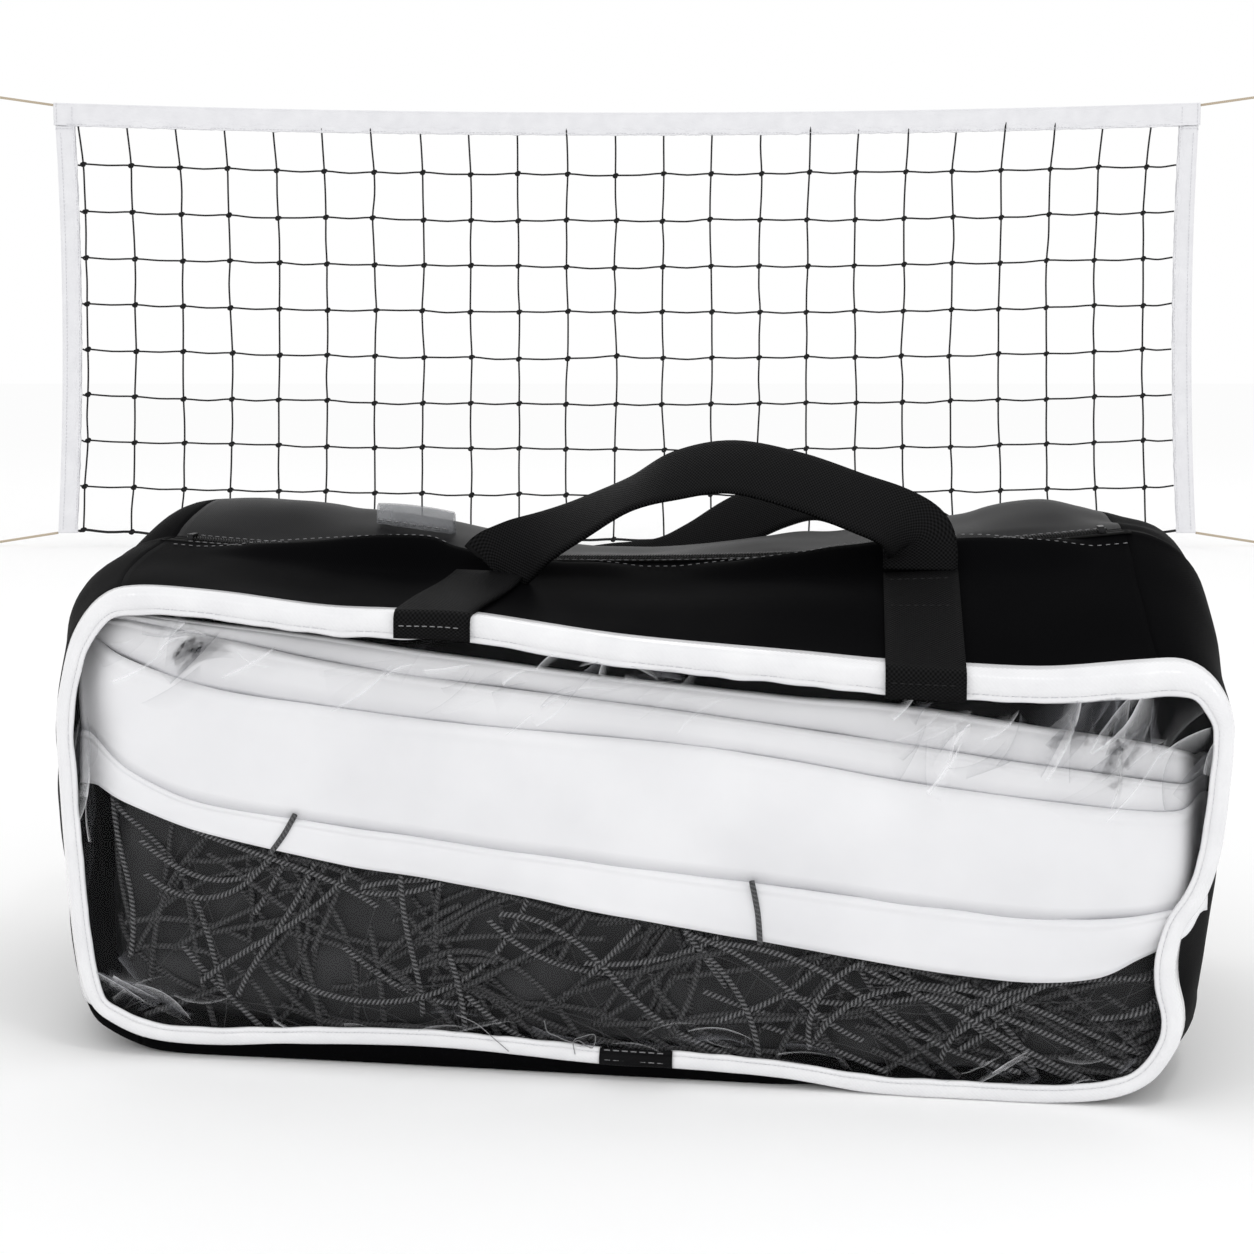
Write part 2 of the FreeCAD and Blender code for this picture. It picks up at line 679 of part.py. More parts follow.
slider_top = COIL + FIT + SLIDER_WALL
slider_half = stop_half + SLIDER_WALL
half_length = SLIDER_LENGTH / 2
slider = box(-half_length, half_length, -slider_half, slider_half, FIT, slider_top)
slider = slider.cut(box(-SLIDER_LENGTH, SLIDER_LENGTH, -stop_half, stop_half, -1, COIL + FIT))
under = -ZIP_TAPE - FIT
plate = box(-half_length, half_length, -stop_half, stop_half, under - SLIDER_WALL, under)
post = box(-half_length, -half_length / 3, -SLIDER_POST / 2, SLIDER_POST / 2, under, slider_top)
crown_half = CROWN_SPAN / 2
crown_arch = box(-crown_half, crown_half, -CROWN_THICKNESS / 2, CROWN_THICKNESS / 2,
                 slider_top, slider_top + CROWN_RISE)
crown_hole = box(-crown_half + SLIDER_WALL, crown_half - SLIDER_WALL, -CROWN_THICKNESS, CROWN_THICKNESS,
                 slider_top, slider_top + CROWN_RISE - CROWN_BAR)
corner_edges = []
for edge in slider.Edges:
    if edge.BoundBox.ZLength > SLIDER_WALL and abs(edge.CenterOfMass.y) > stop_half + SLIDER_WALL / 2:
        corner_edges.append(edge)
slider = slider.makeFillet(SLIDER_ROUND, corner_edges)
slider = slider.multiFuse([plate, post, crown_arch.cut(crown_hole)]).removeSplitter()

# Zip pulls. The end bar lies under the crown and the slot lets the crown through.

pull_level = slider_top + FIT + PULL_THICKNESS / 2
pull = Part.makeCylinder(PULL_THICKNESS / 2, PULL_WIDTH, Vector(0, -PULL_WIDTH / 2, 0), Vector(0, 1, 0))
blade = box(0, PULL_LENGTH - PULL_WIDTH / 2, -PULL_WIDTH / 2, PULL_WIDTH / 2,
            -PULL_THICKNESS / 2, PULL_THICKNESS / 2)
tip = Part.makeCylinder(PULL_WIDTH / 2, PULL_THICKNESS,
                        Vector(PULL_LENGTH - PULL_WIDTH / 2, 0, -PULL_THICKNESS / 2))
slot = box(PULL_THICKNESS / 2, PULL_THICKNESS / 2 + PULL_SLOT, -CROWN_THICKNESS / 2 - FIT,
           CROWN_THICKNESS / 2 + FIT, -PULL_THICKNESS, PULL_THICKNESS)
pull = pull.multiFuse([blade, tip]).removeSplitter().cut(slot)
pull.translate(Vector(0, 0, pull_level))
SLIDER_RIGHT = BAG_RIGHT_EDGE - SLIDERS_IN + SLIDERS_APART / 2 + SLIDER_LENGTH / 2
SLIDER_LEFT = SLIDER_RIGHT - SLIDERS_APART - SLIDER_LENGTH
save_bag("zip_slider_left", on_zip(slider, SLIDER_LEFT))
save_bag("zip_slider_right", on_zip(turned(slider), SLIDER_RIGHT))
save_bag("zip_pull_left", on_zip(turned(pull), SLIDER_LEFT))
save_bag("zip_pull_right", on_zip(pull, SLIDER_RIGHT))


# Sewn feet of the front handle: doubled webbing over the top panel and down over the binding

strap_under = BINDING_PROUD + FIT
strap_front = BINDING_THICKNESS + FIT
strap_shell = bag_form(FRONT_RUN, -strap_under - WEBBING, strap_front + WEBBING)
strap_shell = strap_shell.cut(bag_form(FRONT_RUN, -strap_under, strap_front))


def front_strap(foot_u, lean):
    """A sewn foot that leans sideways by as much as given between the rim and the lift-off."""
    cutter = box(-WEBBING_WIDTH / 2, WEBBING_WIDTH / 2, -FAR, FAR, 0, FAR)
    cutter.rotate(Vector(0, 0, 0), Vector(0, 0, 1), -math.degrees(math.atan2(lean, LIFT_OFF_BACK)))
    cutter.translate(Vector(foot_u, 0, top_height(0, foot_u) - STRAP_DROP))
    return strap_shell.common(cutter).common(box(0, BAG_LENGTH, -FAR, LIFT_OFF_BACK, 0, FAR))


FRONT_LEFT_FOOT = BAG_LEFT_EDGE + FRONT_LEFT_IN
FRONT_RIGHT_FOOT = BAG_RIGHT_EDGE - FRONT_RIGHT_IN
save_bag("front_strap_left", front_strap(FRONT_LEFT_FOOT, FRONT_LEFT_LEAN))
save_bag("front_strap_right", front_strap(FRONT_RIGHT_FOOT, 0.0))


# A handle loop is webbing lofted through its turned sections, with a rolled end at each foot

def ribbon(stops):
    rings = []
    last = len(stops) - 1
    for index, (centre, width) in enumerate(stops):
        run = stops[min(index + 1, last)][0] - stops[max(index - 1, 0)][0]
        run.normalize()
        across = (width - run * width.dot(run)).normalize()
        normal = run.cross(across)
        a = across * (WEBBING_WIDTH / 2)
        b = normal * (WEBBING / 2)
        rings.append([centre + a + b, centre + a - b, centre - a - b, centre - a + b])
    return faceted(rings)


def handle(left, right, steps):
    """Webbing between two feet. Each step is how far along, how far back, how high, and its width's way."""
    span = right - left
    stops = []
    for share, back, rise, width in steps:
        base = left + span * share
        stops.append((base + Vector(0, back, rise), Vector(*width)))
    axis = Vector(span).normalize()
    rolls = []
    for foot in (left, right):
        rolls.append(Part.makeCylinder(WEBBING / 2, WEBBING_WIDTH, foot - axis * (WEBBING_WIDTH / 2), axis))
    return ribbon(stops).multiFuse(rolls).removeSplitter()


foot_back = LIFT_OFF_BACK + FIT + WEBBING / 2
feet = []
for u in (FRONT_LEFT_FOOT + FRONT_LEFT_LEAN, FRONT_RIGHT_FOOT):
    feet.append(Vector(u, foot_back, top_height(LIFT_OFF_BACK, u) + strap_under + WEBBING + FRONT_FOOT_CLEAR))
FRONT_STEPS = (
    (0.00, 0.0, 0.0, (1, 0, 0)),
    (0.00, 0.5, 9.0, (1, -0.1, 0)),
    (0.035, 0.0, 17.0, (0.85, -0.5, -0.2)),
    (0.10, -1.0, 22.5, (0.55, -0.7, -0.4)),
    (0.20, -2.5, 29.5, (0.35, -0.8, -0.45)),
    (0.33, -4.5, 42.5, (0.2, -0.85, -0.45)),
    (0.44, -6.5, 53.0, (0.1, -0.75, -0.65)),
    (0.57, -8.0, 57.5, (0, -0.72, -0.69)),
    (0.72, -6.5, 49.5, (-0.05, -0.71, -0.7)),
    (0.86, -4.0, 37.0, (-0.2, -0.7, -0.7)),
    (0.94, -2.0, 29.0, (-0.45, -0.6, -0.6)),
    (0.99, -0.5, 19.0, (-0.85, -0.3, -0.3)),
    (1.00, 0.0, 10.0, (-0.97, -0.1, -0.1)),
    (1.00, 0.0, 0.0, (-1, 0, 0)))
save_bag("front_handle", handle(feet[0], feet[1], FRONT_STEPS))
print("front handle feet", [rounded(foot) for foot in feet])

# Sewn feet of the back handle, on the back panel, and its loop

back_feet = []
skin = BAG_DEPTH + WALL + STRAP_SEAT
for node, u in (("left", BAG_LEFT_EDGE + BACK_LEFT_IN), ("right", BAG_RIGHT_EDGE - BACK_RIGHT_IN)):
    head = top_height(BAG_DEPTH, u) - BACK_STRAP_BELOW_RIM
    save_bag("back_strap_" + node, box(u - WEBBING_WIDTH / 2, u + WEBBING_WIDTH / 2, skin, skin + WEBBING,
                                       head - BACK_STRAP_LENGTH, head))
    back_feet.append(Vector(u, skin + 1.5 * WEBBING + FIT, head + BACK_FOOT_CLEAR + WEBBING / 2))
BACK_STEPS = (
    (0.00, 0.0, 0.0, (1, 0, 0)),
    (0.00, 5.0, 12.0, (1, 0, -0.6)),
    (0.05, 10.0, 23.0, (0.85, -0.4, -0.35)),
    (0.16, 14.0, 24.0, (0.4, -0.6, -0.65)),
    (0.28, 15.0, 25.0, (0.25, -0.6, -0.7)),
    (0.37, 14.0, 33.0, (0.25, -0.6, -0.7)),
    (0.47, 13.0, 46.0, (0.25, -0.6, -0.7)),
    (0.58, 12.0, 58.0, (0.2, -0.65, -0.7)),
    (0.67, 12.5, 61.0, (0.1, -0.7, -0.65)),
    (0.77, 12.5, 52.5, (-0.1, -0.7, -0.65)),
    (0.87, 12.0, 43.0, (-0.35, -0.65, -0.6)),
    (0.95, 9.5, 32.0, (-0.8, -0.35, -0.35)),
    (1.00, 4.0, 20.0, (-1, -0.05, 0)),
    (1.00, 0.0, 0.0, (-1, 0, 0)))
save_bag("back_handle", handle(back_feet[0], back_feet[1], BACK_STEPS))
print("back handle feet", [rounded(foot) for foot in back_feet])

# Hanging tab of folded vinyl, seated on the back top panel

TAB_LEFT = BAG_LEFT_EDGE + TAB_IN
tab_half = TAB_GAP / 2 + VINYL
tab_foot = top_height(TAB_BACK - tab_half, TAB_LEFT + TAB_LENGTH)
tab_top = top_height(TAB_BACK, TAB_LEFT) + TAB_HEIGHT


def tab_profile(half, foot, top):
    """A folded strip seen from its end, pushed out to the tab's length."""
    edges = [line(Vector(0, -half, foot), Vector(0, -half, top - half)),
             arc(Vector(0, -half, top - half), Vector(0, 0, top), Vector(0, half, top - half)),
             line(Vector(0, half, top - half), Vector(0, half, foot)),
             line(Vector(0, half, foot), Vector(0, -half, foot))]
    return Part.Face(Part.Wire(edges)).extrude(Vector(TAB_LENGTH, 0, 0))


tab = tab_profile(tab_half, tab_foot - TAB_HEIGHT, tab_top)
tab = tab.cut(tab_profile(TAB_GAP / 2, tab_foot - TAB_HEIGHT, tab_top - VINYL))
tab.translate(Vector(TAB_LEFT, TAB_BACK, 0))
save_bag("hanging_tab", tab.cut(bag_form(BACK_RUN, -STRAP_SEAT)))


# The packed net inside: dark netting below, and the white tapes folded in bands above it

def fold_line(heights):
    return arc(Vector(BAG_LEFT_EDGE, 0, heights[0]), Vector(BAG_LEFT_EDGE + BAG_LENGTH / 2, 0, heights[1]),
               Vector(BAG_RIGHT_EDGE, 0, heights[2]))


def fold_band(lower, upper, front, depth):
    low = [Vector(BAG_LEFT_EDGE, 0, lower[0]), Vector(BAG_RIGHT_EDGE, 0, lower[2])]
    high = [Vector(BAG_LEFT_EDGE, 0, upper[0]), Vector(BAG_RIGHT_EDGE, 0, upper[2])]
    floor_line = line(low[1], low[0]) if lower[1] == lower[0] else fold_line(lower)
    edges = [fold_line(upper), line(high[1], low[1]), floor_line, line(low[0], high[0])]
    solid = Part.Face(Part.Wire(Part.__sortEdges__(edges))).extrude(Vector(0, depth, 0))
    solid.translate(Vector(0, front, 0))
    return solid


room_inset = WALL + FIT
room = bag_form(FRONT_RUN + BACK_RUN, room_inset)
floor_heights = (room_inset, room_inset, room_inset)
netting = fold_band(floor_heights, NETTING_TOP, PACK_FRONT, BAG_DEPTH - PACK_FRONT - FIT)
save_bag("packed_netting", room.common(netting))
bands = (("packed_tape_lower", NETTING_TOP, LOWER_FOLD_TOP),
         ("packed_tape_middle", LOWER_FOLD_TOP, MIDDLE_FOLD_TOP),
         ("packed_tape_upper", MIDDLE_FOLD_TOP, UPPER_FOLD_TOP),
         ("packed_tape_crest", UPPER_FOLD_TOP, CREST_FOLD_TOP))
for node, lower, upper in bands:
    save_bag(node, room.common(fold_band(lower, upper, PACK_FRONT, TAPE_PACK_DEPTH)))

print("ground", round(GROUND, 3), "sweep radius", round(SWEEP_RADIUS, 2))
print("zip centre", rounded(Vector(ZIP_CENTRE.x, ZIP_MIDDLE, ZIP_CENTRE.z)))
print("zip radius", round(ZIP_RADIUS, 3))
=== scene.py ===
import json
import math
import random

import bpy
import numpy as np
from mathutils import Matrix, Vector, noise


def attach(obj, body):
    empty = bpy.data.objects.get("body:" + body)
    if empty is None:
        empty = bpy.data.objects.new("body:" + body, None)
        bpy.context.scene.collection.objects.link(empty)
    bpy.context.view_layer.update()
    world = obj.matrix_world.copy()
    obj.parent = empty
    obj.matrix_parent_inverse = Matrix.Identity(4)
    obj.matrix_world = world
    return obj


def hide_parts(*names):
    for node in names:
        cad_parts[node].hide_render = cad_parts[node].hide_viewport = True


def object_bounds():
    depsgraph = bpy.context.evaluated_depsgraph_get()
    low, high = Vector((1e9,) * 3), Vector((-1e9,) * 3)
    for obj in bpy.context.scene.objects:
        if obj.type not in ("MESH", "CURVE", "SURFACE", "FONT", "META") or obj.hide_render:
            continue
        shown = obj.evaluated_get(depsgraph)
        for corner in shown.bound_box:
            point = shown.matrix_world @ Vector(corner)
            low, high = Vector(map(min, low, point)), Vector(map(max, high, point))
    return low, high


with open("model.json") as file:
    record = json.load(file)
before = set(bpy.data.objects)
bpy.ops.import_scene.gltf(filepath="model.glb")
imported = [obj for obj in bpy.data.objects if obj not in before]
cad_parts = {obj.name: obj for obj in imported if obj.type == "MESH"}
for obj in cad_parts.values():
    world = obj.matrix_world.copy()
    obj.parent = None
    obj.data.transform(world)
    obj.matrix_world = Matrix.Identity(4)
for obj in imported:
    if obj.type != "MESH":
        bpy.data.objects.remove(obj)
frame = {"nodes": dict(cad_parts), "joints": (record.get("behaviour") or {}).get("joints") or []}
cad_low, cad_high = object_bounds()

# The viewer stands low in front of the bag and looks a little down at it, so that the hung net
# shows above the bag. Lens and shift give the photograph's own framing.
VIEWER_PLACE = (0.0, -3.621, -0.5209)
VIEWER_PITCH = 3.539
viewer = bpy.data.cameras.new("viewer")
viewer.lens = 50.0
viewer.sensor_width = 36.0
viewer.shift_y = -0.12
viewer_stand = bpy.data.objects.new("viewer", viewer)
viewer_stand.location = VIEWER_PLACE
viewer_stand.rotation_euler = (math.radians(90 - VIEWER_PITCH), 0, 0)
bpy.context.scene.collection.objects.link(viewer_stand)
bpy.context.scene.camera = viewer_stand

# Tie cords: pale laid cotton cord, 5 mm thick, one from each corner of the net. Each is pulled
# straight, wrapped once in a barrel knot and ends in a loop that goes over a hook.
MM = 0.001
TIE_THICK = 5.0
TIE_REACH = 134.0
TIE_RISE = 19.0
TIE_FALL = 21.0
KNOT_LENGTH = 16.0
TIE_COLOUR = (0.62, 0.53, 0.41, 1)
# TIE_HOLLOW is the cord's colour between its strands, darkened there as painted shade
TIE_HOLLOW = (0.36, 0.29, 0.2, 1)


def new_finish(name, **settings):
    """A material with its Principled shader, whose plain sockets are set by name."""
    material = bpy.data.materials.new(name)
    material.use_nodes = True
    shader = material.node_tree.nodes["Principled BSDF"]
    for socket, value in settings.items():
        shader.inputs[socket.replace("_", " ")].default_value = value
    return material, material.node_tree, shader


def add_node(tree, kind, links=(), **values):
    """A node of a kind, with plain values on its sockets and links from other nodes' outputs."""
    node = tree.nodes.new(kind)
    for name, value in values.items():
        if hasattr(node, name) and name not in node.inputs:
            setattr(node, name, value)
        else:
            node.inputs[name.replace("_", " ")].default_value = value
    for socket, source in dict(links).items():
        tree.links.new(source, node.inputs[socket])
    return node


def maths(tree, operation, first, second=None):
    """One step of arithmetic on numbers or outputs."""
    node = tree.nodes.new("ShaderNodeMath")
    node.operation = operation
    for index, value in enumerate((first, second)):
        if value is None:
            continue
        if isinstance(value, (int, float)):
            node.inputs[index].default_value = value
        else:
            tree.links.new(value, node.inputs[index])
    return node.outputs[0]


def times(tree, first, second):
    return maths(tree, "MULTIPLY", first, second)


def plus(tree, first, second):
    return maths(tree, "ADD", first, second)


def weave_place(tree):
    """The piece's coordinates down and across its weave, as X and Y."""
    place = tree.nodes.new("ShaderNodeUVMap")
    return add_node(tree, "ShaderNodeSeparateXYZ", {"Vector": place.outputs["UV"]}).outputs


def patchy(tree, scale, detail):
    """A noise that stays with the piece."""
    place = tree.nodes.new("ShaderNodeTexCoord")
    return add_node(tree, "ShaderNodeTexNoise", {"Vector": place.outputs["Object"]}, Scale=scale,
                    Detail=detail).outputs["Fac"]


def new_effect(name, inputs, outputs):
    """An empty node group with named number inputs and number outputs."""
    tree = bpy.data.node_groups.new(name, "ShaderNodeTree")
    for label, value in inputs.items():
        socket = tree.interface.new_socket(label, in_out="INPUT", socket_type="NodeSocketFloat")
        socket.default_value = value
    for label in outputs:
        tree.interface.new_socket(label, in_out="OUTPUT", socket_type="NodeSocketFloat")
    return tree, tree.nodes.new("NodeGroupInput"), tree.nodes.new("NodeGroupOutput")


def place_effect(tree, effect, **values):
    """An effect's node group in a material, with its numbers."""
    node = tree.nodes.new("ShaderNodeGroup")
    node.node_tree = effect
    for name, value in values.items():
        node.inputs[name.replace("_", " ")].default_value = value
    return node


def bump(tree, shader, height, distance, strength=1.0):
    """Fine relief by a height, no deeper than the distance in metres."""
    node = add_node(tree, "ShaderNodeBump", {"Height": height}, Strength=strength, Distance=distance)
    tree.links.new(node.outputs["Normal"], shader.inputs["Normal"])


def shade_between(tree, shader, mask, dark, light):
    """Base colour from one to another by a mask."""
    ramp = tree.nodes.new("ShaderNodeValToRGB")
    ramp.color_ramp.elements[0].color = dark
    ramp.color_ramp.elements[1].color = light
    tree.links.new(mask, ramp.inputs["Fac"])
    tree.links.new(ramp.outputs["Color"], shader.inputs["Base Color"])


# The lay of a twisted cord: raised strands that go round it, from its length and turn coordinates
laid_cord, lay_in, lay_out = new_effect("laid_cord", {"Pitch": 0.006, "Strands": 3.0}, ["Strand", "Fuzz"])
split = weave_place(laid_cord)
turns = maths(laid_cord, "DIVIDE", split["X"], lay_in.outputs["Pitch"])
around = times(laid_cord, split["Y"], lay_in.outputs["Strands"])
phase = times(laid_cord, plus(laid_cord, turns, around), math.pi)
laid_cord.links.new(maths(laid_cord, "ABSOLUTE", maths(laid_cord, "SINE", phase)), lay_out.inputs["Strand"])
fuzz = add_node(laid_cord, "ShaderNodeTexNoise", Scale=900.0, Detail=3.0)
laid_cord.links.new(fuzz.outputs["Fac"], lay_out.inputs["Fuzz"])


def cord_finish(name, hollow, crest, pitch, strands, depth, **settings):
    """A laid cord's finish, darker between its strands: painted shade in the hollows."""
    material, tree, shader = new_finish(name, **settings)
    lay = place_effect(tree, laid_cord, Pitch=pitch, Strands=strands)
    mask = times(tree, lay.outputs["Strand"], plus(tree, lay.outputs["Fuzz"], 0.45))
    shade_between(tree, shader, mask, hollow, crest)
    bump(tree, shader, lay.outputs["Strand"], depth)
    return material


tie_finish = cord_finish("tie_cord", TIE_HOLLOW, TIE_COLOUR, 0.006, 3.0, 0.0005, Roughness=0.85)


def distances(line):
    """How far along a line each of its points lies."""
    return np.concatenate([[0], np.cumsum(np.linalg.norm(np.diff(line, axis=0), axis=1))])


def points_at(at, far, line):
    """Points at given distances along a line, whose own points lie at the distances in far."""
    return np.stack([np.interp(at, far, axis) for axis in np.transpose(line)], -1)


def sweep(path, thick, sides):
    """A round cord through points, closed at both ends, as vertices, faces and corner coordinates."""
    path = np.asarray(path, float)
    along = np.gradient(path, axis=0)
    along /= np.linalg.norm(along, axis=1)[:, None]
    length = distances(path)
    helper = np.array((0.0, 0.0, 1.0)) if abs(along[0, 2]) < 0.8 else np.array((0.0, 1.0, 0.0))
    side = np.cross(along[0], helper)
    side /= np.linalg.norm(side)
    sides_of = [side]
    for direction in along[1:]:
        side = side - direction * (side @ direction)
        side = side / np.linalg.norm(side)
        sides_of.append(side)
    first = np.array(sides_of)
    second = np.cross(along, first)
    turn = np.arange(sides) / sides * 2 * math.pi
    ways = np.cos(turn)[None, :, None] * first[:, None] + np.sin(turn)[None, :, None] * second[:, None]
    rings = path[:, None] + thick / 2 * ways
    verts, faces, corners = lattice(rings, length * MM, np.arange(sides + 1) / sides, wrap=True)
    last = (len(path) - 1) * sides
    faces = faces + [list(range(sides - 1, -1, -1)), list(range(last, last + sides))]
    return verts, faces, np.concatenate([corners, np.zeros((2 * sides, 2))])


def lattice(rows, down, across, wrap=False):
    """A sheet of four-cornered faces over rows of points, with weave coordinates in metres."""
    rows = np.asarray(rows, float)
    count, width = rows.shape[:2]
    r = np.arange(count - 1)[:, None]
    c = np.arange(width if wrap else width - 1)[None, :]
    after = (c + 1) % width
    here, below = r * width, (r + 1) * width
    quads = np.stack([here + c, here + after, below + after, below + c], -1)
    down = np.asarray(down, float)
    across = np.asarray(across, float)
    d0, d1 = down[:-1, None] + 0 * c, down[1:, None] + 0 * c
    a0, a1 = across[c + 0 * r], across[c + 1 + 0 * r]
    corners = np.stack([np.stack([d0, a0], -1), np.stack([d0, a1], -1),
                        np.stack([d1, a1], -1), np.stack([d1, a0], -1)], 2)
    return rows.reshape(-1, 3), quads.reshape(-1, 4).tolist(), corners.reshape(-1, 2)


def make_piece(name, parts, finish, body="root", stands_for=(), place=None):
    """One smooth mesh piece from several parts in millimetres, riding on a body."""
    verts = []
    faces = []
    corners = []
    start = 0
    for part_verts, part_faces, part_corners in parts:
        verts.append(part_verts)
        faces += [[index + start for index in face] for face in part_faces]
        corners.append(part_corners)
        start += len(part_verts)
    points = np.concatenate(verts)
    points = (place(points) if place else points) * MM
    mesh = bpy.data.meshes.new(name)
    mesh.from_pydata(points.tolist(), [], faces)
    weave = mesh.uv_layers.new(name="weave")
    weave.data.foreach_set("uv", np.concatenate(corners).astype(np.float32).ravel())
    mesh.polygons.foreach_set("use_smooth", [True] * len(mesh.polygons))
    mesh.materials.append(finish)
    piece = bpy.data.objects.new(name, mesh)
    bpy.context.scene.collection.objects.link(piece)
    return settle(piece, body, stands_for)


def settle(piece, body, stands_for):
    """Sets a piece on its body, in place of its solids."""
    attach(piece, body)
    if stands_for:
        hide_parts(*stands_for)
    return piece


def free_cord(name, points, thick, finish):
    """A cord laid along a smooth line near its points."""
    data = bpy.data.curves.new(name, "CURVE")
    data.dimensions = "3D"
    spline = data.splines.new("NURBS")
    spline.points.add(len(points) - 1)
    for knot, point in zip(spline.points, points):
        knot.co = (point[0] * MM, point[1] * MM, point[2] * MM, 1)
    spline.order_u = 3
    spline.use_endpoint_u = True
    data.resolution_u = 16
    data.bevel_depth = thick / 2 * MM
    data.bevel_resolution = 5
    data.use_fill_caps = True
    data.materials.append(finish)
    piece = bpy.data.objects.new(name, data)
    bpy.context.scene.collection.objects.link(piece)
    return piece


# Each loop is given along its run and across it, from the knot's mouth and back to it
LOOP_ROUTE = ((0, 2.8), (10.5, 10.5), (26, 10.7), (40.5, 11), (50.6, 8.5), (50.6, -8.5), (40.5, -11),
              (26, -10.7), (10.5, -10.5), (0, -2.8))
HALF = 1178.0
HEAD_SAG = 20.0
TIES = (("head_tie", "head_loop", Vector((HALF, 0, HEAD_SAG)), Vector((TIE_REACH, 0, TIE_RISE)),
         Vector((TIE_REACH, 0, TIE_RISE)), Vector((-TIE_RISE, 0, TIE_REACH))),
        ("foot_tie", "foot_loop", Vector((1187.3, 0, -862.49)), Vector((TIE_REACH, 0, -TIE_FALL)),
         Vector((1, 0, 0)), Vector((0, 1, 0))))
for stem, loop, corner, run, onward, across in TIES:
    onward = onward.normalized()
    across = across.normalized()
    for side, flip in (("right", 1), ("left", -1)):
        knot_start = corner + run
        mouth = knot_start + onward * (KNOT_LENGTH - TIE_THICK / 2)
        route = [corner] + [corner + run * share for share in (0.12, 0.5, 0.93)]
        route += [knot_start + onward * 3, mouth - onward * 4 + across * 1.2]
        route += [mouth + onward * ahead + across * out for ahead, out in LOOP_ROUTE]
        route = [Vector((point.x * flip, point.y * flip, point.z)) for point in route]
        cord = free_cord(stem + "_cord_" + side, route, TIE_THICK, tie_finish)
        settle(cord, "root", (stem + "_" + side, loop + "_" + side))
        wraps = []
        for step in range(61):
            share = step / 60
            turn = share * 2 * math.pi * 4.25
            reach = 4.6 - 0.5 * abs(2 * share - 1) ** 4
            point = knot_start + onward * (2.1 + 9.6 * share)
            point = point + across * (reach * math.cos(turn))
            point = point + onward.cross(across) * (reach * math.sin(turn))
            wraps.append((point.x * flip, point.y * flip, point.z))
        knot = make_piece(loop.replace("loop", "knot") + "_" + side, [sweep(wraps, 2.9, 8)], tie_finish)

# The netting: black twisted twine, knotted where 23 upright cords cross 9 level ones. The squares
# hang a little unevenly, and each level cord sags between its knots.
COLUMNS = 23
ROWS = 9
ROW_PITCH = 94.6
FIRST_COLUMN_IN = 57.5
LAST_COLUMN_IN = 107.3
FIRST_ROW_DROP = 120.0
HEAD_SPREAD = 1.012
TWINE = 3.7
KNOT_TWINE = 4.3
SWEEP_RADIUS = (HALF ** 2 + HEAD_SAG ** 2) / (2 * HEAD_SAG)
SIDE_TOP = 24.5
SIDE_FOOT = -862.8
SIDE_BOW = 13.0
FOOT_FLARE = 9.0
net_chance = random.Random(11)
net_twine = cord_finish("net_twine", (0.002, 0.002, 0.002, 1), (0.014, 0.014, 0.015, 1), 0.008, 2.0, 0.0004,
                        Roughness=0.7, Specular_IOR_Level=0.25)


def sag(x):
    return SWEEP_RADIUS - math.sqrt(SWEEP_RADIUS ** 2 - x ** 2)


def side_edge(z):
    """How far out the net's side edge lies at one height."""
    share = (SIDE_TOP - z) / (SIDE_TOP - SIDE_FOOT)
    return HALF + FOOT_FLARE * share - 4 * SIDE_BOW * share * (1 - share)


def row_height(x, row):
    return sag(x) - FIRST_ROW_DROP - row * ROW_PITCH


def crossing(column, row):
    """Where an upright cord crosses a level one. Row -1 is the head cord, column -1 a side tape."""
    pitch = (2 * HALF - FIRST_COLUMN_IN - LAST_COLUMN_IN) / (COLUMNS - 1)
    x = -HALF + FIRST_COLUMN_IN + column * pitch
    if column < 0 or column >= COLUMNS:
        level = row_height(HALF, max(row, -1))
        inward = 42.0 if row >= 0 else 30.0
        x = math.copysign(side_edge(level) - inward, column)
    elif row < 0:
        x *= HEAD_SPREAD
    else:
        x *= side_edge(row_height(HALF, row)) / side_edge(row_height(HALF, 0))
    z = row_height(x, row) if row >= 0 else sag(x) - 6.0
    return np.array((x, 0.0, z))


knots = {}
for row in range(-1, ROWS):
    for column in range(-1, COLUMNS + 1):
        loose = 0.0 if row < 0 or column < 0 or column == COLUMNS else 1.0
        slip = np.array((net_chance.gauss(0, 1.5), net_chance.gauss(0, 0.6), net_chance.gauss(0, 1.3)))
        knots[column, row] = crossing(column, row) + slip * loose


def curve_step(a, b, c, d, steps):
    """Points of a smooth curve from b on to c, led by the points before and after them."""
    return [0.5 * (2 * b + (c - a) * t + (2 * a - 5 * b + 4 * c - d) * t * t
                   + (3 * b - a - 3 * c + d) * t ** 3) for t in (step / steps for step in range(steps))]


def rounded_line(points, steps):
    """A smooth line through points."""
    points = [np.asarray(point, float) for point in points]
    padded = [2 * points[0] - points[1]] + points + [2 * points[-1] - points[-2]]
    line = []
    for a, b, c, d in zip(padded, padded[1:], padded[2:], padded[3:]):
        line += curve_step(a, b, c, d, steps)
    return np.array(line + [points[-1]])


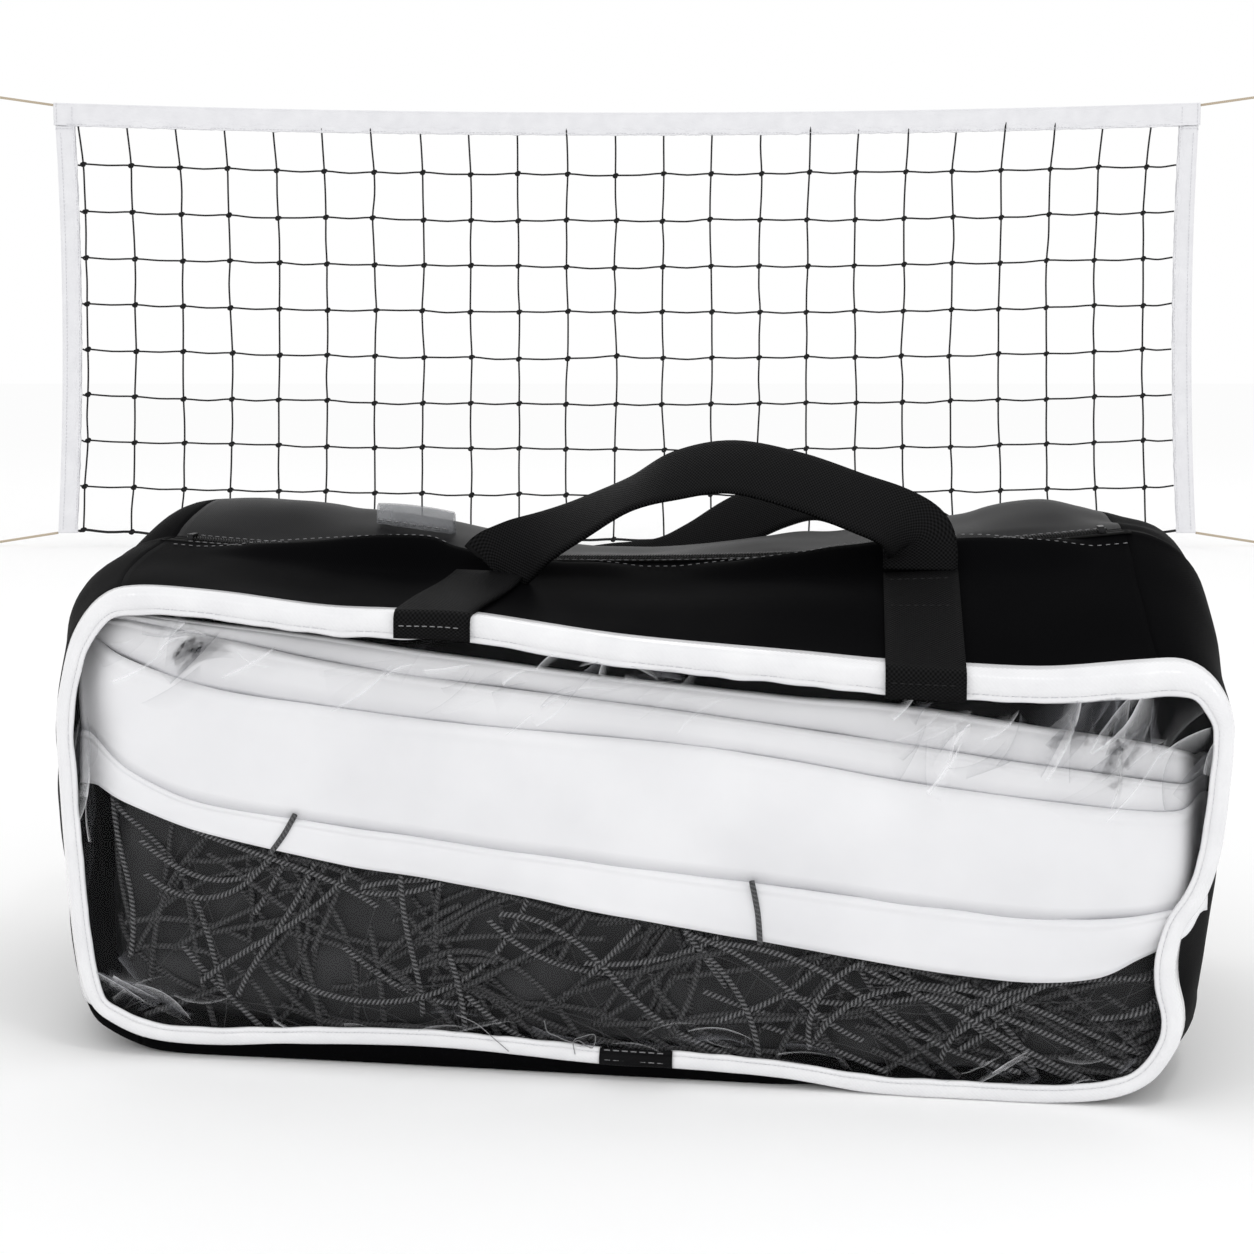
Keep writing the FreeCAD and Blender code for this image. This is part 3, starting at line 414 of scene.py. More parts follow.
twines = []
for column in range(COLUMNS):
    way = []
    for row in range(-1, ROWS):
        way.append(knots[column, row])
        if row < ROWS - 1:
            middle = (knots[column, row] + knots[column, row + 1]) / 2
            way.append(middle + np.array((net_chance.gauss(0, 0.8), net_chance.gauss(0, 1.0), 0)))
    twines.append(sweep(rounded_line(way, 3), TWINE, 7))
for row in range(ROWS):
    way = []
    for column in range(-1, COLUMNS + 1):
        way.append(knots[column, row])
        if column < COLUMNS:
            middle = (knots[column, row] + knots[column + 1, row]) / 2
            way.append(middle - np.array((0, net_chance.gauss(0, 1.0), abs(net_chance.gauss(2.2, 0.8)))))
    twines.append(sweep(rounded_line(way, 3), TWINE if row < ROWS - 1 else 1.5 * TWINE, 7))
for row in range(ROWS):
    for column in range(COLUMNS):
        turn = net_chance.uniform(-0.35, 0.35)
        wrap = []
        for step in range(25):
            angle = step / 24 * 2 * math.pi
            reach = 2.9 + 1.0 * math.cos(3 * angle / 2)
            wrap.append(knots[column, row] + np.array((reach * math.cos(angle + turn) * 1.35,
                                                       2.3 * math.sin(3 * angle / 2),
                                                       reach * math.sin(angle + turn) * 1.2)))
        twines.append(sweep(wrap, KNOT_TWINE, 6))
make_piece("netting", twines, net_twine, stands_for=("net_mesh", "foot_cord"))

# Head tape and side tapes: white woven polyester folded over the edge cords and sewn to
# the netting, so that it puckers at every upright cord.
HEAD_TAPE_WIDTH = 50.0
SIDE_TAPE_WIDTH = 44.0
EDGE_ROUND = 4.5
TAPE_PUCKER = 2.6
TAPE_THICK = 0.8
TAPE_STITCH = (5.0, 2.6, 0.9)
THREAD_LAY = (0.002, 2.0, 0.0001)

# Fine weave: crossed threads from the weave coordinates, and a soft unevenness of the cloth
weave, weave_in, weave_out = new_effect("weave", {"Thread": 0.0006, "Blotch": 12.0}, ["Thread", "Blotch"])
split = weave_place(weave)
waves = []
for way in ("X", "Y"):
    turns = maths(weave, "DIVIDE", split[way], weave_in.outputs["Thread"])
    waves.append(maths(weave, "SINE", times(weave, turns, math.pi)))
crossed = plus(weave, times(weave, times(weave, *waves), 0.5), 0.5)
weave.links.new(crossed, weave_out.inputs["Thread"])
body_place = weave.nodes.new("ShaderNodeTexCoord")
patches = add_node(weave, "ShaderNodeTexNoise", {"Vector": body_place.outputs["Object"],
                                                 "Scale": weave_in.outputs["Blotch"]}, Detail=4.0)
weave.links.new(patches.outputs["Fac"], weave_out.inputs["Blotch"])


def cloth_finish(name, dark, light, thread, depth, blotch=12.0, **settings):
    """A woven cloth's finish, from its threads and a slow change of tone."""
    material, tree, shader = new_finish(name, **settings)
    cloth = place_effect(tree, weave, Thread=thread, Blotch=blotch)
    tone = plus(tree, times(tree, cloth.outputs["Thread"], 0.35),
                 times(tree, cloth.outputs["Blotch"], 0.65))
    shade_between(tree, shader, tone, dark, light)
    bump(tree, shader, cloth.outputs["Thread"], depth, 0.6)
    return material


white_tape = cloth_finish("white_tape", (0.7, 0.7, 0.73, 1), (0.93, 0.93, 0.95, 1), 0.0011, 0.0002, 30.0,
                          Roughness=0.5, Specular_IOR_Level=0.45, Sheen_Weight=0.15)


def stitches(line, long, gap, thick, lift=(0, 0, 0)):
    """A row of stitches along a line, each a short thread that dives in at both ends."""
    line = np.asarray(line, float)
    far = distances(line)
    parts = []
    for start in np.arange(0, far[-1] - long, long + gap):
        points = points_at(np.linspace(start, start + long, 4), far, line)
        points = points + np.asarray(lift) * np.array((0, 1, 1, 0))[:, None]
        parts.append(sweep(points, thick, 5))
    return parts


def tape_rows(stations, spot, width, knots_at):
    """Rows across a folded tape. Each row runs from the front's free edge over the cord and back."""
    rows = []
    for station in stations:
        near = min(abs(station - knot) for knot in knots_at)
        pull = math.exp(-(near / 14.0) ** 2)
        row = []
        for face in (-1, 1):
            shares = np.linspace(1, 0, 25) if face < 0 else np.linspace(0.04, 1, 24)
            for share in shares:
                depth = EDGE_ROUND + share * (width - 2 * EDGE_ROUND) if share > 0.12 else EDGE_ROUND
                reach = 2.3 + (EDGE_ROUND - 2.3) * (1 - share) ** 2
                if share <= 0.12:
                    turn = math.pi / 2 * (1 - share / 0.12)
                    depth = EDGE_ROUND * (1 - math.sin(turn))
                    reach = EDGE_ROUND * math.cos(turn)
                ripple = math.sin(station / 6.1 + share * 4 * math.sin(station / 39)) * 0.7
                loose = 0.8 + 0.8 * noise.noise((station / 26, share * 2, 3))
                billow = TAPE_PUCKER * share * (1 - pull) * loose
                scallop = 0.83 - 0.13 * math.sin(min(near / 45, 1) * math.pi)
                billow -= 1.1 * math.exp(-((share - scallop) / 0.045) ** 2) * (1 - 0.5 * pull)
                tuck = -1.2 * pull * share + ripple * share * (0.5 + pull)
                depth += share * 1.5 * (math.cos(near / 8) * pull + noise.noise((station / 17, 0, share)))
                row.append(spot(station, depth, face * (reach + billow + tuck)))
        rows.append(row)
    return np.array(rows)


def head_spot(x, depth, y):
    return (x, y, sag(x) + EDGE_ROUND - depth)


def thicken(piece, thick, offset=-1.0):
    """Cloth thickness, kept as a modifier."""
    solid = piece.modifiers.new("thickness", "SOLIDIFY")
    solid.thickness = thick * MM
    solid.offset = offset
    return piece


head_knots = [knots[column, -1][0] for column in range(COLUMNS)]
head_line = np.linspace(-HALF, HALF, 820)
rows = tape_rows(head_line, head_spot, HEAD_TAPE_WIDTH, head_knots)
across = distances(rows[0]) * MM
head_sewing = []
for face in (-1, 1):
    seam = [np.array(head_spot(x, HEAD_TAPE_WIDTH - 7.5, face * 4.6)) for x in head_line[6:-6]]
    head_sewing += stitches(seam, *TAPE_STITCH, (0, face * 0.3, 0))
head_tape = make_piece("head_tape", [lattice(rows, head_line * MM, across)], white_tape,
                       stands_for=("top_tape", "head_cord"))
thicken(head_tape, TAPE_THICK)
thread_white = cord_finish("white_thread", (0.5, 0.5, 0.53, 1), (0.75, 0.75, 0.78, 1), *THREAD_LAY,
                           Roughness=0.6)
head_stitching = make_piece("head_tape_stitching", head_sewing, thread_white)
for side, flip in (("left", -1), ("right", 1)):
    side_line = np.linspace(sag(HALF - 20) - HEAD_TAPE_WIDTH + 8, SIDE_FOOT, 230)
    side_knots = [knots[0, row][2] for row in range(ROWS)]

    def side_spot(z, depth, y):
        return (flip * (side_edge(z) - depth), -y * flip, z)

    rows = tape_rows(side_line, side_spot, SIDE_TAPE_WIDTH, side_knots)
    piece = make_piece(side + "_tape", [lattice(rows, side_line * MM, across)], white_tape,
                       stands_for=(side + "_side_tape", side + "_side_cord"))
    thicken(piece, TAPE_THICK)
    sewing = []
    for face in (-1, 1):
        for inward in (SIDE_TAPE_WIDTH - 7.0, 11.0):
            seam = [np.array(side_spot(z, inward, face * 4.4)) for z in side_line[4:-2]]
            sewing += stitches(seam, *TAPE_STITCH, (0, -face * flip * 0.3, 0))
        outer, inner = flip * (HALF - 6), flip * (HALF - 38)
        box = [(outer, 24), (outer, -24), (inner, -24.5), (inner, 17)]
        seam = rounded_line([(x, face * 5.4, z - 4) for x, z in box for _ in (0, 1)], 8)
        sewing += stitches(seam, *TAPE_STITCH)
    side_stitching = make_piece(side + "_tape_stitching", sewing, thread_white)

# The carry bag's body: black coated polyester cloth, cut as a top in two halves, a base, two ends
# and a back, and sewn inside out. It stands by itself, slack and a little collapsed in the middle.
BAG_TURN = math.radians(-7.345)
BAG_COS = math.cos(BAG_TURN)
BAG_SIN = math.sin(BAG_TURN)
BAG_AT = (-300.0, -2698.6, -889.9)
DEPTH = 245.0
CLOTH = 1.6
ZIP_FRONT = 103.0
ZIP_BACK = 117.0
ZIP_MIDDLE = 110
BAG_MIDDLE = 296
TOP_ABOVE = 150
HUMP_BACK = 178
RIDGE_BACK = 93.0
EDGE_COUNTS = (16, 150, 16, 36, 16, 100, 16, 36)
FRONT_RIM = (
    (20.6, 245.3), (40.7, 251.5), (85.9, 249.1), (141, 242.6), (181, 241.3), (222, 240),
    (301.5, 229), (390.6, 221.7), (434, 218), (472, 216.4), (515, 215.3), (559, 219.3), (580, 220),
    (593, 212), (601, 197.5), (601.5, 184), (600, 161.7), (596.5, 131), (589.7, 108), (580, 92.7),
    (576, 75.9), (576, 62), (579.4, 47), (578, 33), (567, 15), (548, 5), (518, 1), (477, 0.6),
    (428, 1.2), (382, 6.5), (325, 8.8), (289, 9), (203, 13.5), (124, 11.4), (82, 8.7), (47.6, 9.8),
    (24.6, 17.4), (10.7, 29.4), (4, 60), (-0.2, 105), (-2.8, 143), (-4.3, 180), (-1.6, 200),
    (6, 226))
ZIP_RIDGE = (
    (-10, 258), (31.5, 267), (75, 271), (168, 276.5), (197, 270), (274, 264), (308, 261),
    (346, 265.5), (387, 271), (416, 277), (475, 283), (510, 281.6), (551, 277.7), (600, 262))
BACK_CREST = (
    (2, 284), (35, 287), (85, 285), (109, 281), (128, 279), (189, 269), (235, 261), (269, 258),
    (296, 258), (326, 262), (358, 267), (385, 270), (416, 272), (477, 282), (498, 287), (528, 291),
    (550, 287), (564, 284), (600, 281))


def in_bag(points):
    """The bag's own frame, along its front, into it and up, set down where the bag stands."""
    u, v, w = np.asarray(points, float).T
    return np.stack([BAG_AT[0] + u * BAG_COS - v * BAG_SIN, BAG_AT[1] + u * BAG_SIN + v * BAG_COS,
                     BAG_AT[2] + w], -1)


def rising(share):
    """A quarter of a wave, steep first and level at the end."""
    return math.sin(math.pi / 2 * min(1.0, max(0.0, share)))


def smooth(share):
    """An even change from 0 to 1, level at both ends."""
    share = np.clip(share, 0, 1)
    return share * share * (3 - 2 * share)


# Each of these four outlines of the top gives its height at the left and the right, its even dip
# and the valley in its middle
FRONT_TOP = (251.0, 219.0, 7.0, 0.0)
ZIP_TOP = (269.0, 280.0, 14.0, 0.0)
HUMP_TOP = (287.0, 290.0, 0.0, 30.0)
BACK_TOP = (268.0, 271.0, 0.0, 20.0)


def top_sizes(back):
    """Height of the top at the left and the right, its even dip, and the valley in its middle."""
    if back <= ZIP_BACK:
        ends = (FRONT_TOP, ZIP_TOP)
        share = min(1.0, max(0.0, back / ZIP_FRONT))
    elif back <= HUMP_BACK:
        ends = (ZIP_TOP, HUMP_TOP)
        share = rising((back - ZIP_BACK) / (HUMP_BACK - ZIP_BACK))
    else:
        ends = (HUMP_TOP, BACK_TOP)
        share = 1 - rising(1 - (back - HUMP_BACK) / (DEPTH - HUMP_BACK))
    return [first + (second - first) * share for first, second in zip(*ends)]


# The ends swell out behind the front, and draw in again towards the back
LEFT_EDGE = -3
RIGHT_EDGE = 601
LEFT_SWELL = 25
RIGHT_SWELL = 8
LEFT_DRAW = 18
RIGHT_DRAW = 12
END_BOW = 5
CORNER = 34
CORNER_GROWTH = 10
FRONT_TUCK = 21
TUCK_LOSS = 12.5
FOOT_LIFT = 8


def body_ring(back, inset=0.0):
    """The body's outline at one distance back, as places along the bag and heights."""
    left, right, dip, valley = top_sizes(back)
    swell = rising(back / 75)
    draw = 1 - rising(1 - max(0.0, (back - ZIP_BACK) / (DEPTH - ZIP_BACK)))
    lo = LEFT_EDGE - LEFT_SWELL * swell + LEFT_DRAW * draw + inset
    hi = RIGHT_EDGE + RIGHT_SWELL * swell - RIGHT_DRAW * draw - inset
    c = CORNER + CORNER_GROWTH * swell - inset
    tuck = FRONT_TUCK - TUCK_LOSS * swell
    foot = FOOT_LIFT * (1 - rising(back / 5)) + inset
    left -= inset
    right -= inset
    marks = [(lo, left - c), (lo + c, left), (hi - c, right), (hi, right - c), (hi - tuck, inset + c),
             (hi - tuck - c, inset), (lo + tuck / 3 + c, foot), (lo + tuck / 3, foot + c)]
    marks = [np.array(mark, float) for mark in marks]
    ring = []
    for index, count in enumerate(EDGE_COUNTS):
        start, end = marks[index], marks[(index + 1) % 8]
        share = np.arange(count)[:, None] / count
        if index % 2 == 0:
            turn = np.array((start[0], end[1])) if index in (0, 4) else np.array((end[0], start[1]))
            edge = (turn + (start - turn) * (1 - np.sin(share * math.pi / 2))
                    + (end - turn) * (1 - np.cos(share * math.pi / 2)))
        else:
            edge = start + (end - start) * share
            belly = 4 * share[:, 0] * (1 - share[:, 0])
            if index == 1:
                edge[:, 1] -= dip * belly + valley * np.sin(math.pi * share[:, 0]) ** 2
            elif index == 3:
                edge[:, 0] += END_BOW * belly
            elif index == 7:
                edge[:, 0] -= END_BOW * belly
        ring.append(edge)
    return np.concatenate(ring)


def closed_line(points, steps):
    """A smooth line through points and back to the first."""
    points = [np.array(point, float) for point in points]
    line = []
    for index in range(len(points)):
        a, b, c, d = (points[(index + offset) % len(points)] for offset in (-1, 0, 1, 2))
        line += curve_step(a, b, c, d, steps)
    return np.array(line)


def rim_ring():
    """The sewn front rim, marked off in the same way as the outlines behind it."""
    line = closed_line(FRONT_RIM, 16)
    closed = np.vstack([line, line[:1]])
    far = distances(closed)
    plain = body_ring(0)
    starts = np.concatenate([[0], np.cumsum(EDGE_COUNTS)])[:-1]
    marks = [far[np.argmin(np.linalg.norm(line - plain[start], axis=1))] for start in starts]
    ring = []
    for index, count in enumerate(EDGE_COUNTS):
        begin, end = marks[index], marks[(index + 1) % 8]
        end = end + far[-1] if end < begin else end
        at = (begin + (end - begin) * np.arange(count) / count) % far[-1]
        ring.append(points_at(at, far, closed))
    return np.concatenate(ring)


RIM = rim_ring()
RIM_SHIFT = RIM - body_ring(0)
TOP_STARTS = EDGE_COUNTS[0]
TOP = slice(TOP_STARTS, TOP_STARTS + EDGE_COUNTS[1] + 1)
ridge_u, ridge_w = rounded_line(ZIP_RIDGE, 6).T
crest_u, crest_w = rounded_line(BACK_CREST, 6).T


def cloth_ring(back):
    """The body's outline with the rim's own shape, the fold before the zip and the back's crest."""
    ring = body_ring(back)
    low = 1 - smooth((ring[:, 1:] - 12) / 30)
    low = low * smooth((ring[:, :1] - 30) / 45) * (1 - smooth((ring[:, :1] - 375) / 45))
    ring = ring + RIM_SHIFT * (float(1 - smooth(back / 70)) * (1 - low) + float(1 - smooth(back / 5)) * low)
    u = ring[:, 0].copy()
    top = ring[:, 1] > TOP_ABOVE
    zip_w = body_ring(ZIP_FRONT)[TOP]
    fold = np.maximum(0, np.interp(u, ridge_u, ridge_w) - np.interp(u, zip_w[:, 0], zip_w[:, 1]) - 0.5)
    rise = float(smooth((back - 77) / 15) * (1 - smooth((back - 93) / 9.5)))
    ends = smooth((u - 20) / 60) * (1 - smooth((u - 520) / 60))
    ring[:, 1] += np.where(top, fold * rise * ends, 0)
    plain = body_ring(170)[TOP]
    lift = np.interp(u, crest_u, crest_w) - np.interp(u, plain[:, 0], plain[:, 1])
    rise = float(smooth((back - 122) / 30) * (1 - smooth((back - 195) / 40)))
    ring[:, 1] += np.where(top, lift * rise * smooth((u - 5) / 30) * (1 - smooth((u - 570) / 30)), 0)
    return ring


def cloth_rows(backs, part, slack=1.0):
    """Rows of points over part of the body, with the slow creases of soft cloth."""
    rows = []
    for back in backs:
        ring = cloth_ring(back)[part]
        row = []
        calm = slack * float(smooth(back / 14) * smooth((243 - back) / 16))
        calm *= 0.25 if abs(back - ZIP_MIDDLE) < 12 else 1.0
        for u, w in ring:
            crease = noise.noise((u / 70, back / 34, w / 60)) * 2.6
            crease += noise.noise((u / 26, back / 60, w / 24)) * 1.1
            crease *= calm * min(1.0, w / 30)
            if abs(back - ZIP_MIDDLE) < 12:
                crease *= float(1 - smooth((abs(u - BAG_MIDDLE) - 235) / 20))
            out_u = math.copysign(min(1.0, abs(u - BAG_MIDDLE) / 290) ** 6, u - BAG_MIDDLE)
            out_w = 1.0 if w > TOP_ABOVE else 0.15
            row.append((u + crease * out_u, back, w + crease * out_w * (1 - abs(out_u))))
        rows.append(row)
    return np.array(rows)


def ring_lengths(rows):
    """Distances down and across a sheet for its weave, in metres."""
    return distances(rows[:, rows.shape[1] // 2]) * MM, distances(rows[len(rows) // 2]) * MM


def bag_piece(name, parts, finish, stands_for=()):
    """A piece given in the bag's own frame."""
    return make_piece(name, parts, finish, stands_for=stands_for, place=in_bag)


def bag_sheet(name, rows, finish, stands_for=(), body="root"):
    """A sheet over rows of points in the bag's own frame."""
    return make_piece(name, [lattice(rows, *ring_lengths(rows))], finish, body, stands_for, in_bag)


FRONT_BACKS = [
    0, 1, 2.5, 4, 6, 9, 14, 20, 27, 35, 43, 51, 59, 67, 74, 78, 81, 84, 87, 90, 93, 95.5, 98,
    100.5, 103]
BACK_BACKS = [
    117, 118.5, 121, 125, 130, 136, 142, 148, 154, 160, 167, 174, 181, 188, 196, 204, 212, 220,
    228, 235, 240, 243.5, 245.5]
WHOLE_BACKS = FRONT_BACKS + [ZIP_MIDDLE] + BACK_BACKS
ring_total = sum(EDGE_COUNTS)
top_part = np.arange(TOP_STARTS, TOP_STARTS + EDGE_COUNTS[1] + 1)
right_part = np.arange(top_part[-1], top_part[-1] + sum(EDGE_COUNTS[2:5]) + 1)
base_part = np.arange(right_part[-1], right_part[-1] + EDGE_COUNTS[5] + 1)
left_part = np.concatenate([np.arange(base_part[-1], ring_total), np.arange(0, TOP_STARTS + 1)])
BAG_WEAVE = (0.0007, 0.00012, 9.0)
black_cloth = cloth_finish("bag_cloth", (0.001, 0.001, 0.0012, 1), (0.004, 0.004, 0.0045, 1), *BAG_WEAVE,
                           Roughness=0.5, Specular_IOR_Level=0.007)
# The back top's cloth is the same fabric as the rest, given a lighter colour and more gloss: painted sheen
# for the grey that the back hump catches from the light
sheen_cloth = cloth_finish("back_bag_sheen_cloth", (0.004, 0.004, 0.0045, 1), (0.014, 0.014, 0.015, 1), *BAG_WEAVE,
                          Roughness=0.45, Specular_IOR_Level=0.09)
panels = (("front_top_cloth", "front_top_panel", FRONT_BACKS, top_part),
          ("back_top_cloth", "back_top_panel", BACK_BACKS, top_part),
          ("right_end_cloth", "right_end_panel", WHOLE_BACKS, right_part),
          ("base_cloth", "base_panel", WHOLE_BACKS, base_part),
          ("left_end_cloth", "left_end_panel", WHOLE_BACKS, left_part))
for name, node, backs, part in panels:
    rows = cloth_rows(backs, part, 0.3 if node == "base_panel" else 1.0)
    cloth = sheen_cloth if node == "back_top_panel" else black_cloth
    thicken(bag_sheet(name, rows, cloth, (node,)), CLOTH)


def spread_over(ring, columns, lines, inset=0.0):
    """A regular sheet inside a closed ring, bounded by its top, right, foot and left runs."""
    after = np.roll(ring, -2, axis=0)
    before = np.roll(ring, 2, axis=0)
    along = after - before
    inward = np.stack([along[:, 1], -along[:, 0]], -1) / np.linalg.norm(along, axis=1)[:, None]
    ring = ring + inward * inset
    half = EDGE_COUNTS[0] // 2
    cuts = [half, right_part[0] + half, right_part[-1] - half, base_part[-1] + half, ring_total + half]
    runs = []
    for begin, end, count in zip(cuts, cuts[1:], (columns, lines, columns, lines)):
        run = ring[np.arange(begin, end + 1) % ring_total]
        far = distances(run)
        runs.append(points_at(np.linspace(0, far[-1], count), far, run))
    top, right, foot, left = runs[0], runs[1], runs[2][::-1], runs[3][::-1]
    a = np.linspace(0, 1, columns)[None, :, None]
    b = np.linspace(0, 1, lines)[:, None, None]
    sheet = (1 - b) * top[None] + b * foot[None] + (1 - a) * left[:, None] + a * right[:, None]
    sheet -= ((1 - a) * (1 - b) * top[0] + a * (1 - b) * top[-1] + (1 - a) * b * foot[0] + a * b * foot[-1])
    return sheet


flat_back = spread_over(cloth_ring(245.5), 70, 34)
a = np.linspace(-1, 1, 70)[None, :]
b = np.linspace(-1, 1, 34)[:, None]
bulge = 1.6 * (1 - a ** 4) * (1 - b ** 4)
ripple = np.array([[noise.noise((u / 55, w / 40, 7)) * 0.8 for u, w in row] for row in flat_back])
depth = 245.4 + bulge + ripple * (1 - a ** 8) * (1 - b ** 8)
rows = np.dstack([flat_back[..., 0], depth, flat_back[..., 1]])
thicken(bag_sheet("back_cloth", rows, black_cloth, ("back_panel",)), CLOTH, 1.0)

# Seams of the body: the top's stitching each side of the zip, in grey thread that catches light
grey_thread = cord_finish("grey_thread", (0.10, 0.10, 0.10, 1), (0.30, 0.30, 0.31, 1), *THREAD_LAY,
                          Roughness=0.55)


def on_top(u, back):
    """Height of the cloth's top at one place."""
    ring = cloth_ring(back)[TOP]
    return float(np.interp(u, ring[:, 0], ring[:, 1]))


dark_thread = cord_finish("dark_thread", (0.004, 0.004, 0.004, 1), (0.03, 0.03, 0.031, 1), *THREAD_LAY,
                          Roughness=0.6, Specular_IOR_Level=0.1)
seam_parts = []
for back, u0, u1 in ((119.4, 22, 560), (100.6, 30, 550)):
    ring = cloth_ring(back)[TOP]
    seam = [(u, back, float(np.interp(u, ring[:, 0], ring[:, 1])) + 0.7) for u in np.linspace(u0, u1, 260)]
    seam_parts += stitches(seam, 2.6, 1.7, 0.5)
for u0, u1 in ((24, 188), (270, 566)):
    fold_seam = [(u, RIDGE_BACK, on_top(u, RIDGE_BACK) + 0.55) for u in np.linspace(u0, u1, 240)]
    seam_parts += stitches(fold_seam, 2.2, 2.4, 0.5)
bag_piece("zip_seam_stitching", seam_parts, grey_thread)

# Binding of the window: glossy white coated tape folded over the rim's edge and sewn through.
# Its two ends don't meet at the foot, where a piece of black tape covers the joint.
JOINT_LEFT = 289.0
JOINT_RIGHT = 325.5
RIM_AHEAD = (((1.0, -0.7), (0.93, -1.5), (0.8, -2.1), (0.74, -1.7), (0.68, -2.3), (0.45, -2.8), (0.2, -2.7),
              (0.04, -1.9)), ((0.8, -0.6), (1.0, 1.2), (0.7, 4.0), (0.5, 8.0)))


def rim_inward():
    along = np.roll(RIM, -3, axis=0) - np.roll(RIM, 3, axis=0)
    return np.stack([along[:, 1], -along[:, 0]], -1) / np.linalg.norm(along, axis=1)[:, None]


RIM_INWARD = rim_inward()
BINDING_WIDTHS = 8.4 + 3.6 * np.maximum(0, -RIM_INWARD[:, 1]) ** 2


def between(values, index):
    """A value at a place between two of the rim's points."""
    first = int(index) % ring_total
    share = index - int(index)
    return values[first] * (1 - share) + values[(first + 1) % ring_total] * share


def binding_rows(indices, proud=0.0):
    rows = []
    rings = {back: cloth_ring(back) for back in (1.2, 4.0, 8.0)}
    for index in indices:
        place = between(RIM, index)
        inward = between(RIM_INWARD, index)
        soft = noise.noise((place[0] / 16, place[1] / 16, 2))
        width = between(BINDING_WIDTHS, index) + soft * 0.9
        row = []
        for share, v in RIM_AHEAD[0]:
            spot = place + inward * (share * width)
            row.append((spot[0], v * (1 + 0.25 * soft) - proud, spot[1]))
        under = float(smooth((inward[1] - 0.2) / 0.5) * (1 - smooth((place[1] - 35) / 25)))
        for out, v in RIM_AHEAD[1]:
            start = place if v < 0 else between(rings[v], index) * (1 - under) + place * under
            spot = start - inward * (out * (1 - 0.8 * under) + proud)
            row.append((spot[0], v * (1 - 0.75 * under), spot[1]))
        rows.append(row)
    return np.array(rows)


white_binding, tree, shader = new_finish("white_binding", Roughness=0.22, Specular_IOR_Level=0.5,
                                         Coat_Weight=0.3, Coat_Roughness=0.1)
cloth = place_effect(tree, weave, Thread=0.0012, Blotch=45.0)
shade_between(tree, shader, cloth.outputs["Blotch"], (0.74, 0.74, 0.76, 1), (0.9, 0.9, 0.91, 1))
bump(tree, shader, plus(tree, times(tree, cloth.outputs["Blotch"], 3.0),
                         times(tree, cloth.outputs["Thread"], 0.35)), 0.0005, 0.5)
foot_run = base_part[:-1]
foot_u = RIM[foot_run % ring_total, 0]
gap_low, gap_high = np.interp((-JOINT_LEFT, -JOINT_RIGHT), -foot_u, foot_run)
rows = binding_rows(np.linspace(gap_low, ring_total + gap_high, ring_total))
thicken(bag_sheet("window_binding", rows, white_binding, ("front_binding",)), 0.5)
black_tape = cloth_finish("joint_tape", (0.002, 0.002, 0.002, 1), (0.009, 0.009, 0.01, 1), 0.0008, 0.0002,
                          40.0, Roughness=0.5, Specular_IOR_Level=0.05)
rows = binding_rows(np.linspace(gap_high - 0.15, gap_low + 0.15, 14), 0.45)
thicken(bag_sheet("joint_cover", rows, black_tape, ("binding_joint_tape",)), 0.5)
thread_line = []
for index in np.linspace(gap_low, ring_total + gap_high, ring_total):
    spot = between(RIM, index) + between(RIM_INWARD, index) * between(BINDING_WIDTHS, index) * 0.75
    thread_line.append((spot[0], -2.2, spot[1]))
bag_piece("binding_stitching", stitches(thread_line, 3.4, 1.4, 0.5), thread_white)
cover_line = [(u, -3.2, float(np.interp(u, (JOINT_LEFT, JOINT_RIGHT), (17.0, 16.4))))
              for u in (291, 308, 323)]
cover_parts = stitches(cover_line, 3.0, 1.6, 0.6)
cover_parts += stitches([(u, -3.2, w - 5.2) for u, _, w in cover_line], 3.0, 1.6, 0.6)
bag_piece("joint_stitching", cover_parts, grey_thread)

# Window: clear soft vinyl sheet held in the binding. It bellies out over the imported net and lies
# in soft folds, most of them near its corners.
WINDOW_COLUMNS = 300
WINDOW_LINES = 124
crease_chance = random.Random(8)
FOLD_PLACES = (
    (60, 215, 55, 26, 22), (545, 185, 50, 26, 26), (270, 208, 70, 16, 16), (440, 180, 50, 14, 14),
    (22, 130, 14, 60, 14), (575, 100, 14, 50, 12), (60, 40, 45, 20, 9), (300, 25, 200, 10, 10),
    (300, 120, 240, 70, 12))
sheet = spread_over(RIM, WINDOW_COLUMNS, WINDOW_LINES, 5.0)
su, sw = sheet[..., 0], sheet[..., 1]
a = np.linspace(-1, 1, WINDOW_COLUMNS)[None, :]
b = np.linspace(-1, 1, WINDOW_LINES)[:, None]
hold = (1 - a ** 10) * (1 - b ** 6)
belly = -1.2 - 3.6 * (1 - a ** 4) * (1 - b ** 2)
crumple = np.zeros_like(su)
for place_u, place_w, spread_u, spread_w, count in FOLD_PLACES:
    for _ in range(count):
        cu = crease_chance.gauss(place_u, spread_u * 0.6)
        cw = crease_chance.gauss(place_w, spread_w * 0.6)
        lean = crease_chance.gauss(0.5 if spread_u > spread_w else 1.4, 0.7)
        long = crease_chance.uniform(9, 36)
        wide = crease_chance.uniform(3.0, 6.0)
        high = crease_chance.choice((-1, 1, 1)) * crease_chance.uniform(0.4, 1.5)
        bend = crease_chance.uniform(-0.014, 0.014)
        du, dw = su - cu, sw - cw
        run = du * math.cos(lean) + dw * math.sin(lean)
        off = -du * math.sin(lean) + dw * math.cos(lean) + bend * run ** 2
        crumple += 0.7 * high * np.exp(-np.abs(off / wide) ** 1.6 - (run / long) ** 4)
slow = np.array([[noise.noise((u / 62, w / 44, 3)) * 1.8 + noise.noise((u / 24, w / 20, 5)) * 0.6
                  for u, w in row] for row in sheet])
rows = np.dstack([su, belly + (slow - crumple) * hold, sw])
